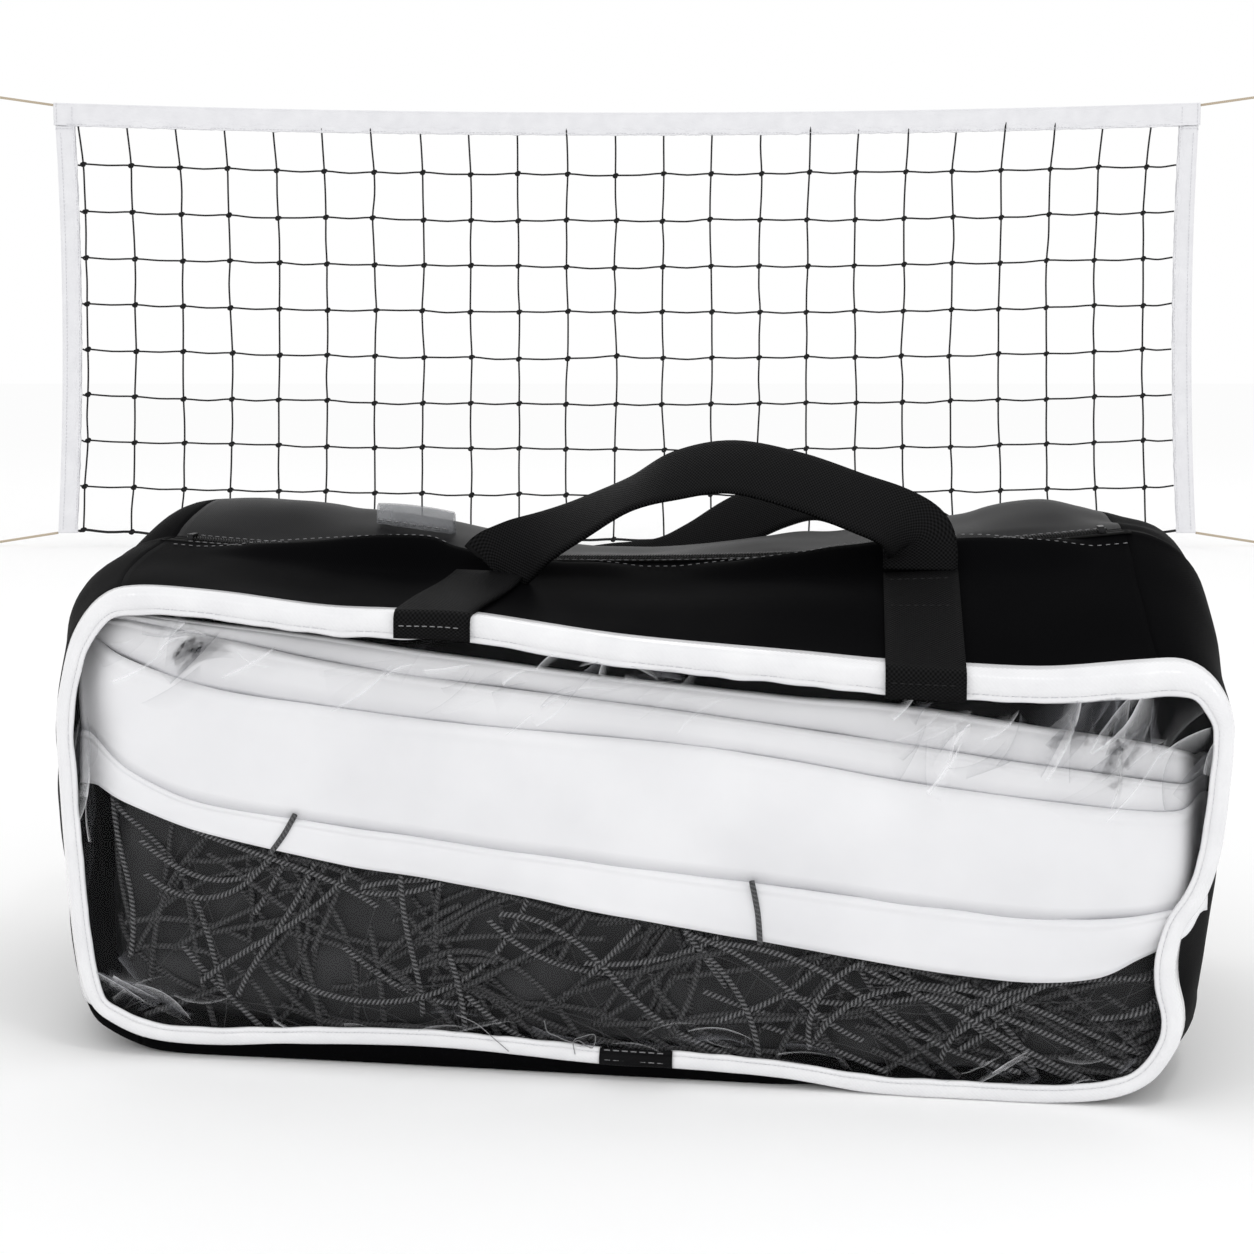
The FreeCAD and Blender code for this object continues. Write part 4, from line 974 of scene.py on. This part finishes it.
clear_vinyl, tree, shader = new_finish("clear_vinyl", Roughness=0.07, Specular_IOR_Level=0.7, IOR=1.5)
# Painted reflection: the sheet's colour turns from grey to white and its cover thickens towards grazing
# angles, in place of the white surroundings it reflects; the patchy haze is the vinyl's own
facing = add_node(tree, "ShaderNodeLayerWeight", Blend=0.2)
shade_between(tree, shader, facing.outputs["Fresnel"], (0.26, 0.265, 0.28, 1), (0.92, 0.925, 0.95, 1))
haze = patchy(tree, 11.0, 4.0)
cover = plus(tree, times(tree, facing.outputs["Fresnel"], 0.7),
              times(tree, haze, 0.035))
tree.links.new(maths(tree, "MINIMUM", cover, 0.85), shader.inputs["Alpha"])
bag_sheet("window_sheet", rows, clear_vinyl, ("clear_window",))
window_spots = rows[::3, ::3].reshape(-1, 3)

# Sharp creases of the vinyl as painted glints and painted shade: slivers laid just before the sheet, white
# where a crease would catch the light and grey where it turns away, crisp along one edge and fading to the
# other. Each run gives place, spread, count, lean, its spread, length, width.
CREASE_RUNS = (
    (68, 220, 40, 11, 11, 0.5, 0.35, 17, 13.0), (11, 130, 4, 50, 6, 1.5, 0.08, 17, 8.0),
    (200, 210, 45, 10, 6, 0.4, 0.25, 18, 8.0), (288, 209, 48, 12, 13, 0.5, 0.3, 17, 9.0),
    (466, 184, 34, 11, 12, 0.85, 0.35, 14, 9.0), (552, 182, 28, 20, 17, 1.05, 0.35, 24, 14.0),
    (588, 105, 3, 30, 4, 1.55, 0.1, 16, 6.0), (40, 36, 24, 10, 8, -0.3, 0.5, 15, 8.0),
    (270, 21, 130, 5, 15, 0.05, 0.2, 15, 3.0), (500, 17, 50, 6, 6, 0.1, 0.3, 14, 3.5))
for name, catches, colour, cover in (("window_glints", 0, (0.97, 0.975, 1, 1), 0.62),
                                     ("window_shades", 1, (0.27, 0.275, 0.3, 1), 0.42)):
    slivers = []
    strengths = []
    for run_u, run_w, spread_u, spread_w, count, lean, lean_spread, long, wide in CREASE_RUNS:
        for _ in range(count):
            centre = np.array((crease_chance.gauss(run_u, spread_u * 0.7),
                               crease_chance.gauss(run_w, spread_w * 0.7)))
            turn = crease_chance.gauss(lean, lean_spread)
            run = np.array((math.cos(turn), math.sin(turn)))
            side = np.array((-run[1], run[0])) * crease_chance.choice((-1, 1))
            reach = long * crease_chance.uniform(0.4, 1.3)
            across = wide * (1.3 if catches else 0.8) * crease_chance.uniform(0.3, 1.3)
            bow = reach * crease_chance.uniform(-0.3, 0.3)
            wedge = crease_chance.choice((0.0, 0.5, 1.0))
            sliver = []
            for t in np.linspace(-1, 1, 13):
                full = (1 - t * t) ** 0.7 * (1 - wedge) + wedge * (1 - t) / 2
                middle = centre + run * (t * reach) + side * (bow * (1 - t * t))
                sliver.append([middle + side * (across * full * share) for share in (0.0, 0.33, 0.66, 1.0)])
            sliver = np.array(sliver).reshape(-1, 2)
            near = np.linalg.norm(window_spots[None, :, ::2] - sliver[:, None], axis=2)
            nearest = window_spots[np.argmin(near, axis=1)]
            far = np.min(near, axis=1)[:, None] > 5.5
            sliver = np.where(far, nearest[:, ::2], sliver)
            spots = np.stack([sliver[:, 0], nearest[:, 1] - 0.35 - 0.1 * catches, sliver[:, 1]], -1)
            slivers.append(lattice(spots.reshape(13, 4, 3), np.linspace(0, 1, 13), (0.0, 0.33, 0.66, 1.0)))
            strengths += [crease_chance.uniform(0.1, 1.0) ** 1.5] * 52
    glint, tree, shader = new_finish(name, Roughness=0.3, Specular_IOR_Level=0.3)
    shader.inputs["Base Color"].default_value = colour
    split = weave_place(tree)
    strength = add_node(tree, "ShaderNodeAttribute", attribute_name="strength").outputs["Fac"]
    inside = maths(tree, "SUBTRACT", 1.0, split["Y"])
    fading = plus(tree, times(tree, maths(tree, "POWER", inside, 9.0), 0.6),
                   times(tree, inside, 0.45))
    tree.links.new(times(tree, times(tree, strength, cover), fading), shader.inputs["Alpha"])
    piece = bag_piece(name, slivers, glint)
    mask = piece.data.attributes.new("strength", "FLOAT", "POINT")
    mask.data.foreach_set("value", np.array(strengths, np.float32))

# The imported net's white tapes: the same woven tape, folded back and forth in four soft layers.
# Each layer's face hangs down and its top edge rolls back into the bag.
FOLD_LINES = (
    ((12, 144), (68, 124), (152, 107), (203, 101), (297, 86), (391, 73), (488, 61), (536, 63),
    (562, 75), (592, 92)),
    ((4, 172), (53.5, 143), (110, 132), (203, 121), (401, 101), (517.5, 92), (576, 99),
    (592, 110)),
    ((4, 226), (23, 217), (83, 198), (203, 184), (343, 174), (457, 157.5), (561, 148), (592, 152)),
    ((30, 234), (75, 226), (165, 210), (263, 199), (345, 190), (433, 179), (502, 170), (592, 160)),
    ((8, 239), (55, 235), (139.5, 226.5), (263, 212), (380, 201), (437, 198), (519, 187),
    (575, 179), (592, 171)))
# The brightness given for each layer, after its distance ahead, dims its colour as painted shade: the upper
# layers lie further back in the bag and get less light
LAYERS = (("lower", 3.0, 1.0, 0.16), ("middle", 4.6, 0.99, 0.2), ("upper", 8.0, 0.93, 0.15),
          ("crest", 11.5, 0.88, 0.14))
layer_u = np.linspace(0, 598, 240)
# A layer's line from its foot up the face, over its fold and back into the bag: how far behind the
# face's own place, what share of its height, and how far below that
LAYER_LINE = ((1.2, 0, 0), (0.3, 0.12, 0), (-0.4, 0.3, 0), (-0.6, 0.5, 0), (-0.5, 0.68, 0), (-0.1, 0.82, 0),
              (0.5, 0.88, 0), (0.1, 0.91, 0), (0.8, 0.96, 0), (2.4, 1, 0), (5.0, 1, 1.2), (14, 1, 7),
              (40, 1, 20), (75, 1, 36))


def fold_height(index, u):
    line_u, line_w = rounded_line(FOLD_LINES[index], 8).T
    return np.interp(u, line_u, line_w)


for index, (name, ahead, light, cut) in enumerate(LAYERS):
    packed_cloth, tree, shader = new_finish("packed_tape_" + name, Roughness=0.6, Specular_IOR_Level=0.3)
    cloth = place_effect(tree, weave, Thread=0.0008, Blotch=13.0)
    # Painted shade: each layer above the lowest is darker along its foot, where it hangs behind the fold of
    # the layer before it
    lit = maths(tree, "MINIMUM", times(tree, weave_place(tree)["Y"], 130.0), 1.0)
    lit = plus(tree, times(tree, lit, 0.3 if index else 0.0), 0.3 if index else 0.6)
    tone = plus(tree, lit, times(tree, cloth.outputs["Blotch"], 0.4))
    shade_between(tree, shader, tone, (0.5 * light, 0.5 * light, 0.53 * light, 1),
                  (0.95 * light, 0.95 * light, 0.965 * light, 1))
    bump(tree, shader, cloth.outputs["Blotch"], 0.004, 0.35)
    low = fold_height(index, layer_u)
    high = np.maximum(fold_height(index + 1, layer_u), low + 2.5)
    tall = high - low
    rows = []
    for u, w0, h in zip(layer_u, low, tall):
        turn_in = 13 * float(smooth((36 - u) / 36)) ** 1.5 + 30 * float(smooth((u - 574) / 24)) ** 2
        face = [(ahead + behind, w0 + share * h - below) for behind, share, below in LAYER_LINE]
        face += [(118, w0 + h - 52), (121, w0 + h - 60)]
        if index == 0:
            face[0] = (ahead + 0.2, w0)
        row = []
        for v, w in face:
            soft = noise.noise((u / 52, w / 30, index * 5)) * 2.6 + noise.noise((u / 19, w / 24, 9)) * 0.5
            row.append((u, max(2.2, v + soft) + turn_in * (1 if v < 60 else 0.3), w))
        rows.append(row)
    rows = np.array(rows)
    layer = bag_sheet("tape_layer_" + name, rows, packed_cloth, ("packed_tape_" + name,))
    thicken(layer, 0.7)

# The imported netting: hundreds of turns of dark laid twine in a loose heap below the tapes,
# over the crushed bulk of the net behind.
netting_chance = random.Random(3)
NETTING_TWINE = 2.9
FLOOR_MARKS = (0, 30, 80, 320, 430, 560, 590)


def end_turn(u):
    """How far the heap turns in at the bag's two ends."""
    return 34 * (float(smooth((34 - u) / 30)) ** 2 + float(smooth((u - 556) / 34)) ** 2)


def heap_finish(name, body, strand_highlight):
    """Dark cord, with a small painted highlight where each strand comes over."""
    material, tree, shader = new_finish(name, Roughness=0.6, Specular_IOR_Level=0.15)
    lay = place_effect(tree, laid_cord, Pitch=0.0024, Strands=2.0)
    strand_highlights = times(tree, maths(tree, "POWER", lay.outputs["Strand"], 4.0), lay.outputs["Fuzz"])
    shade_between(tree, shader, strand_highlights, (body, body, body * 1.03, 1), (strand_highlight, strand_highlight, strand_highlight * 1.03, 1))
    bump(tree, shader, lay.outputs["Strand"], 0.0003, 0.6)
    return material


heap_bulk, tree, shader = new_finish("net_bulk", Roughness=0.8, Specular_IOR_Level=0.1)
tangle = patchy(tree, 34.0, 2.0)
shade_between(tree, shader, tangle, (0.02, 0.02, 0.0205, 1), (0.058, 0.058, 0.06, 1))
bump(tree, shader, tangle, 0.003, 0.25)
heap_u = np.linspace(4, 590, 150)
rows = []
for u in heap_u:
    turn_in = end_turn(u)
    top = float(fold_height(0, u)) + 8
    floor = float(np.interp(u, FLOOR_MARKS, (30, 18, 12, 11, 5, 8, 20)))
    row = []
    for share in np.linspace(0, 1, 40):
        w = floor + (top - floor) * share
        lump = noise.noise((u / 17, w / 13, 1)) * 2.0 + noise.noise((u / 45, w / 32, 2)) * 3.5
        tuck = 14 * float(smooth((0.08 - share) / 0.08))
        row.append((u, 15 + lump + turn_in + tuck, w))
    row += [(u, 60, top + 2), (u, 150, top - 6), (u, 235, top - 12), (u, 238, 10)]
    rows.append(row)
rows = np.array(rows)
bag_sheet("net_bulk", rows, heap_bulk)
HEAPS = (("netting_heap", ("packed_netting",), 64, 0.018, 0.33, (5.2, 8.0), NETTING_TWINE),
         ("netting_below", (), 150, 0.022, 0.13, (8.0, 12.0), 3.2),
         # The last heap's thin grey lines stand for the vinyl's fine scratches and creases: real marks of
         # the sheet, and painted glints where its creases catch the light
         ("vinyl_crease_lines", (), 60, 0.045, 0.08, (4.4, 5.4), 0.5))
for name, stands_for, cords, body, strand_highlight, levels, thick in HEAPS:
    heap_parts = []
    for _ in range(cords):
        u = netting_chance.uniform(14, 584)
        w = netting_chance.uniform(10, float(fold_height(0, u)) - 1)
        heading = netting_chance.gauss(0.2, 0.95)
        curl = netting_chance.gauss(0, 0.015)
        sway = netting_chance.uniform(0, 0.03)
        count = netting_chance.randint(30, 120)
        level = netting_chance.uniform(*levels)
        wave = netting_chance.uniform(0, 6)
        path = []
        for step in range(count):
            floor = float(np.interp(u, FLOOR_MARKS, (32, 19, 13, 12, 7, 10, 24)))
            if not 9 < u < 586 or not floor < w < float(fold_height(0, u)) - 1:
                break
            path.append((u, level + 1.8 * math.sin(wave + step / 14) + end_turn(u), w))
            heading += curl + sway * math.sin(wave + step / 12)
            u += 2.2 * math.cos(heading)
            w += 2.2 * math.sin(heading)
        if len(path) > 12:
            heap_parts.append(sweep(path, thick, 8 if thick > 1 else 4))
    bag_piece(name, heap_parts, heap_finish(name, body, strand_highlight), stands_for)
crossing_parts = []
for start, end in (((125, 133.5), (111, 112)), ((366.6, 107), (371, 74))):
    middle = (start[0] * 0.5 + end[0] * 0.5 + 1, 1.6, (start[1] + end[1]) / 2)
    ends = np.array([(start[0], 2.6, start[1]), middle, (end[0], 3.0, end[1])])
    crossing_parts.append(sweep(rounded_line(ends, 10), 3.0, 8))
bag_piece("netting_crossing", crossing_parts, heap_finish("netting_crossing", 0.05, 0.2))

# A loose end of sewing thread caught behind the window's foot
loose_ends = (
    ((275.7, 13.9), (274.9, 20.7), (279.4, 23.3), (285.6, 24.9), (286.3, 21.2), (284.6, 17.7),
    (282, 18.6), (278, 21.1), (275.5, 20.7)),
    ((259.6, 30.9), (261.2, 25.2), (266.4, 22.9), (271.6, 20.8), (285.1, 17.7)),
    ((212.9, 31.8), (223.5, 27.6), (232.9, 20.1), (240.7, 13.7)))
thread_parts = [sweep(rounded_line([(u, -3.4, w) for u, w in end], 6), 0.45, 5) for end in loose_ends]
bag_piece("loose_thread", thread_parts, grey_thread)

# Webbing: black ribbed polypropylene strap, 40 mm wide, sewn down over the window's rim
STRAP_WIDTH = 40.0
STRAP_THICK = 2.4
RIB_PITCH = 0.0024
PICK_PITCH = 0.0018
webbing, tree, shader = new_finish("webbing", Roughness=0.5, Specular_IOR_Level=0.03)
split = weave_place(tree)
rib = maths(tree, "SINE", times(tree, split["Y"], 2 * math.pi / RIB_PITCH))
pick = maths(tree, "SINE", times(tree, split["X"], 2 * math.pi / PICK_PITCH))
braid = plus(tree, times(tree, times(tree, rib, pick), 0.5), 0.5)
# Each raised pebble of the braid is coloured lighter than its hollows: a painted highlight over the braid's
# own bump
shade_between(tree, shader, braid, (0.0006, 0.0006, 0.0006, 1), (0.014, 0.014, 0.0147, 1))
bump(tree, shader, braid, 0.0005, 0.8)
cut_across = np.linspace(-STRAP_WIDTH / 2, STRAP_WIDTH / 2, 11)


def strap_on_top(foot_u, lean, foot_w):
    """A strap that lies on the top, turns over the rim and ends on the binding."""
    rows = []
    for back in (76, 70, 62, 54, 46, 38, 30, 22, 15, 9, 4, 1):
        centre = foot_u + lean * (back / 75)
        rows.append([(centre + a, back, on_top(centre + a, back) + 1.1) for a in cut_across])
    ring = RIM[TOP]
    edge = [float(np.interp(foot_u + a, ring[:, 0], ring[:, 1])) for a in cut_across]
    drop = np.linspace(edge[0] - foot_w[0], edge[-1] - foot_w[1], 11)
    for ahead, share in ((1.4, -0.02), (3.0, 0.06), (3.7, 0.2), (3.9, 0.4), (3.9, 0.7), (3.9, 1.0)):
        rows.append([(foot_u + a, -ahead, w + 0.9 - d * share - (0.9 if share > 0.5 else 0))
                     for a, w, d in zip(cut_across, edge, drop)])
    return np.array(rows)


def across_stitches(rows, at, inset=3.0):
    """A row of stitches across a strap, between two of its rows."""
    index = int(at)
    line = rows[index] * (1 - (at - index)) + rows[index + 1] * (at - index)
    inward = inset / STRAP_WIDTH
    marks = np.linspace(inward, 1 - inward, 20) * 10
    return points_at(marks, range(11), line)


for name, node, foot_u, lean, foot_w, seams, thread in (
        ("left_foot_strap", "front_strap_left", 201.5, 14.5, (230.0, 228.5), (15.3,), grey_thread),
        ("right_foot_strap", "front_strap_right", 453.3, 0.0, (204.6, 204.2), (1.2, 4.0, 15.2),
         dark_thread)):
    rows = strap_on_top(foot_u, lean, foot_w)
    thicken(bag_sheet(name, rows, webbing, (node,)), STRAP_THICK)
    sewn = []
    for at in seams:
        line = across_stitches(rows, at)
        lift = np.array((0, -2.6, 0.3)) if at > 13 else np.array((0, -0.4, 2.6))
        sewn += stitches(line + lift, 2.6, 1.5, 0.6)
    bag_piece(name + "_stitching", sewn, thread)

# The two carry handles: loops of the same webbing that swing on their sewn feet
FRONT_STEPS = (
    (0.00, 0.0, 0.0, (1, 0, 0)), (0.015, 0.2, 3.5, (0.95, -0.15, -0.2)),
    (0.06, 0.0, 9.5, (0.83, -0.4, -0.38)), (0.12, -1.0, 17.5, (0.62, -0.7, -0.36)),
    (0.21, -2.5, 28.0, (0.4, -0.86, -0.34)), (0.33, -4.5, 42.5, (0.2, -0.92, -0.32)),
    (0.44, -6.5, 53.0, (0.1, -0.8, -0.58)), (0.57, -8.0, 57.5, (0, -0.76, -0.65)),
    (0.72, -6.5, 49.5, (-0.05, -0.71, -0.7)), (0.86, -4.0, 37.0, (-0.2, -0.7, -0.7)),
    (0.94, -2.0, 29.0, (-0.45, -0.6, -0.6)), (0.99, -0.5, 19.0, (-0.85, -0.3, -0.3)),
    (1.00, 0.0, 10.0, (-0.97, -0.1, -0.1)), (1.00, 0.0, 0.0, (-1, 0, 0)))
BACK_STEPS = (
    (0.00, 0.0, 0.0, (1, 0, 0)), (0.00, 5.0, 12.0, (1, 0, -0.6)),
    (0.05, 10.0, 19.0, (0.85, -0.4, -0.35)), (0.16, 14.0, 19.0, (0.4, -0.6, -0.65)),
    (0.28, 15.0, 20.5, (0.25, -0.6, -0.7)), (0.37, 14.0, 30.5, (0.25, -0.6, -0.7)),
    (0.47, 13.0, 46.0, (0.25, -0.6, -0.7)), (0.58, 12.0, 58.0, (0.2, -0.65, -0.7)),
    (0.67, 12.5, 61.0, (0.1, -0.7, -0.65)), (0.77, 12.5, 52.5, (-0.1, -0.7, -0.65)),
    (0.87, 12.0, 43.0, (-0.35, -0.65, -0.6)), (0.95, 9.5, 32.0, (-0.8, -0.35, -0.35)),
    (1.00, 4.0, 20.0, (-1, -0.05, 0)), (1.00, 0.0, 0.0, (-1, 0, 0)))


def handle_rows(left, right, steps):
    """Rows across a handle's webbing, smooth between the steps that give its way and its width's turn."""
    left = np.array(left, float)
    right = np.array(right, float)
    spots = [left + (right - left) * share + np.array((0, back, rise)) for share, back, rise, _ in steps]
    line = rounded_line(spots, 8)
    turns = rounded_line([np.array(width, float) for _, _, _, width in steps], 8)
    runs = np.gradient(line, axis=0)
    runs /= np.linalg.norm(runs, axis=1)[:, None]
    rows = []
    for index, (spot, run, width) in enumerate(zip(line, runs, turns)):
        across = width - run * (width @ run)
        across /= np.linalg.norm(across)
        normal = np.cross(run, across)
        curl = 1.6 * math.sin(math.pi * index / (len(line) - 1))
        rows.append([spot + across * a + normal * curl * ((a / 20) ** 2 - 0.5) for a in cut_across])
    return np.array(rows)


def from_world(point):
    """A point of the whole scene in the bag's own frame, in millimetres."""
    x, y, z = (value / MM for value in point)
    x, y = x - BAG_AT[0], y - BAG_AT[1]
    return x * BAG_COS + y * BAG_SIN, -x * BAG_SIN + y * BAG_COS, z - BAG_AT[2]


hinges = {joint["name"]: joint for joint in frame["joints"]}


def handle_feet(joint, span):
    left = np.array(from_world(hinges[joint]["pos_m"]))
    ahead = [p + a for p, a in zip(hinges[joint]["pos_m"], hinges[joint]["axis"])]
    away = np.array(from_world(ahead)) - left
    return left, left + away / away[0] * span


for name, node, joint, steps, span in (
        ("front_carry_handle", "front_handle", "front_handle_swing", FRONT_STEPS, 237.0),
        ("back_carry_handle", "back_handle", "back_handle_swing", BACK_STEPS, 264.0)):
    left, right = handle_feet(joint, span)
    rows = handle_rows(left, right, steps)
    thicken(bag_sheet(name, rows, webbing, (node,), node), STRAP_THICK, 0.0)

STRAP_BACK = 249.2
SEWING_BACK = 250.6
for name, u in (("left", 216.0), ("right", 480.0)):
    ring = body_ring(DEPTH)[TOP]
    head = float(np.interp(u, ring[:, 0], ring[:, 1])) - 40
    rows = np.array([[(u + a, STRAP_BACK, head - drop) for a in cut_across]
                     for drop in np.linspace(0, 60, 14)])
    thicken(bag_sheet("back_foot_strap_" + name, rows, webbing, ("back_strap_" + name,)),
            STRAP_THICK, 0.0)
    left, right, high, low = u - 16, u + 16, head - 4, head - 34
    box = [(left, high), (right, high), (left, low), (right, low), (left, high), (left, low), (right, high),
           (right, low)]
    sewn = []
    for start, end in zip(box, box[1:]):
        middle = ((start[0] + end[0]) / 2, (start[1] + end[1]) / 2)
        line = [(along, SEWING_BACK, up) for along, up in (start, middle, end)]
        sewn += stitches(line, 2.6, 1.4, 0.75)
    bag_piece("back_foot_stitching_" + name, sewn, grey_thread)

# Zip: two woven tapes, each with a coiled nylon tooth line, sewn into the top's seam
ZIP_LEFT = 26.0
ZIP_RIGHT = 556.0
COIL_PITCH = 1.6
COIL_REACH = 0.85
zip_ring = body_ring(ZIP_FRONT)[TOP]
zip_u = np.linspace(zip_ring[0, 0] - 3, zip_ring[-1, 0] + 3, 160)
zip_w = np.interp(zip_u, zip_ring[:, 0], zip_ring[:, 1])
zip_tape = cloth_finish("zip_tape", (0.003, 0.003, 0.003, 1), (0.012, 0.012, 0.012, 1), 0.0006, 0.00015,
                        30.0, Roughness=0.6, Specular_IOR_Level=0.04)
zip_coil, tree, shader = new_finish("zip_coil", Roughness=0.3, Specular_IOR_Level=0.4)
tint = add_node(tree, "ShaderNodeTexNoise", Scale=220.0)
shade_between(tree, shader, tint.outputs["Fac"], (0.008, 0.008, 0.008, 1), (0.03, 0.03, 0.03, 1))
for name, edge, inner, side in (("front", ZIP_FRONT - 3, 109.1, -1), ("back", ZIP_BACK + 3, 110.9, 1)):
    rows = np.array([[(u, v, w - 0.6) for v in np.linspace(edge, inner, 5)] for u, w in zip(zip_u, zip_w)])
    tape = bag_sheet("zip_tape_" + name + "_cloth", rows, zip_tape, ("zip_tape_" + name,))
    thicken(tape, 0.9, 0.0)
    turns = np.arange(ZIP_LEFT, ZIP_RIGHT, 0.22)
    heights = np.interp(turns, zip_u, zip_w)
    angle = (turns - ZIP_LEFT) / COIL_PITCH * 2 * math.pi
    coil = np.stack([turns, ZIP_MIDDLE + side * 1.75 + COIL_REACH * np.cos(angle),
                     heights + 1.1 + COIL_REACH * np.sin(angle)], -1)
    bag_piece("zip_teeth_" + name, [sweep(coil, 0.55, 5)], zip_coil, ("zip_coil_" + name,))
zip_metal, tree, shader = new_finish("zip_metal", Metallic=1.0, Roughness=0.35)
worn = patchy(tree, 300.0, 4.0)
shade_between(tree, shader, worn, (0.012, 0.012, 0.013, 1), (0.05, 0.05, 0.052, 1))
bump(tree, shader, worn, 0.0001, 0.3)
for node in ("zip_slider_left", "zip_slider_right", "zip_pull_left", "zip_pull_right", "zip_end_stops"):
    fitting = frame["nodes"][node]
    fitting.data.materials.clear()
    fitting.data.materials.append(zip_metal)

# Hanging tab: a short strip of the same clear vinyl, folded double and sewn along its foot
TAB_LEFT = 131.0
TAB_LONG = 47.0
TAB_BACK = 150.0
tab_top = on_top(TAB_LEFT, TAB_BACK) + 12.0
rows = []
for u in np.linspace(TAB_LEFT, TAB_LEFT + TAB_LONG, 26):
    foot = on_top(u, TAB_BACK) + 0.6
    sway = noise.noise((u / 12, 0, 0)) * 0.8
    fall = 5.0 * ((u - TAB_LEFT) / TAB_LONG) ** 2
    crest = tab_top - fall
    rows.append([(u, TAB_BACK - 3.4, foot), (u, TAB_BACK - 3.2 + sway, foot + 4),
                 (u, TAB_BACK - 3.0, crest - 4), (u, TAB_BACK - 2.3, crest - 1.4), (u, TAB_BACK, crest),
                 (u, TAB_BACK + 2.3, crest - 1.4), (u, TAB_BACK + 3.0, crest - 4),
                 (u, TAB_BACK + 3.2 + sway, foot + 4), (u, TAB_BACK + 3.4, foot)])
rows = np.array(rows)
tab_vinyl, tree, shader = new_finish("tab_vinyl", Roughness=0.15, Specular_IOR_Level=0.6)
grain = patchy(tree, 60.0, 4.0)
shade_between(tree, shader, grain, (0.16, 0.165, 0.18, 1), (0.46, 0.47, 0.49, 1))
tree.links.new(plus(tree, times(tree, grain, 0.3), 0.3), shader.inputs["Alpha"])
thicken(bag_sheet("tab_strip", rows, tab_vinyl, ("hanging_tab",)), 0.8)
tab_seam = [(u, TAB_BACK - 4.0, on_top(u, TAB_BACK) + 3.2)
            for u in np.linspace(TAB_LEFT + 1, TAB_LEFT + TAB_LONG - 1, 20)]
bag_piece("tab_stitching", stitches(tab_seam, 3.0, 2.0, 0.8), grey_thread)

# The floor and the light: a pale floor and broad soft lamps, as in a plain studio.
floor_mesh = bpy.data.meshes.new("floor")
FLOOR_REACH = 40.0
floor_mesh.from_pydata([(-FLOOR_REACH, -FLOOR_REACH, cad_low.z), (FLOOR_REACH, -FLOOR_REACH, cad_low.z),
                        (FLOOR_REACH, FLOOR_REACH, cad_low.z), (-FLOOR_REACH, FLOOR_REACH, cad_low.z)],
                       [], [(0, 1, 2, 3)])
floor_finish, _, floor_shader = new_finish("floor", Roughness=0.9, Specular_IOR_Level=0.0)
floor_shader.inputs["Base Color"].default_value = (0.975, 0.975, 0.975, 1)
floor_mesh.materials.append(floor_finish)
floor = bpy.data.objects.new("floor", floor_mesh)
bpy.context.scene.collection.objects.link(floor)
sky = bpy.data.worlds.new("studio")
sky.use_nodes = True
sky.node_tree.nodes["Background"].inputs["Color"].default_value = (1, 1, 1, 1)
sky.node_tree.nodes["Background"].inputs["Strength"].default_value = 1.0
bpy.context.scene.world = sky
bpy.context.scene.view_settings.view_transform = "Standard"
LAMPS = (("front_lamp", (-1.3, -3.9, 0.5), (0.0, -2.6, -0.75), 0.16, 1.5),
         ("high_lamp", (0.5, -3.4, 1.0), (0.1, -2.6, -0.7), 0.2, 2.6),
         ("right_lamp", (1.7, -3.6, 0.2), (0.1, -2.6, -0.7), 0.14, 1.6),
         ("back_lamp", (0.3, 1.6, 2.6), (0.0, -0.8, -0.4), 0.8, 6.0))
for name, spot, aim, size, power in LAMPS:
    lamp = bpy.data.lights.new(name, "AREA")
    lamp.size = size
    lamp.energy = power
    holder = bpy.data.objects.new(name, lamp)
    holder.location = spot
    holder.rotation_euler = (Vector(aim) - Vector(spot)).to_track_quat("-Z", "Y").to_euler()
    bpy.context.scene.collection.objects.link(holder)
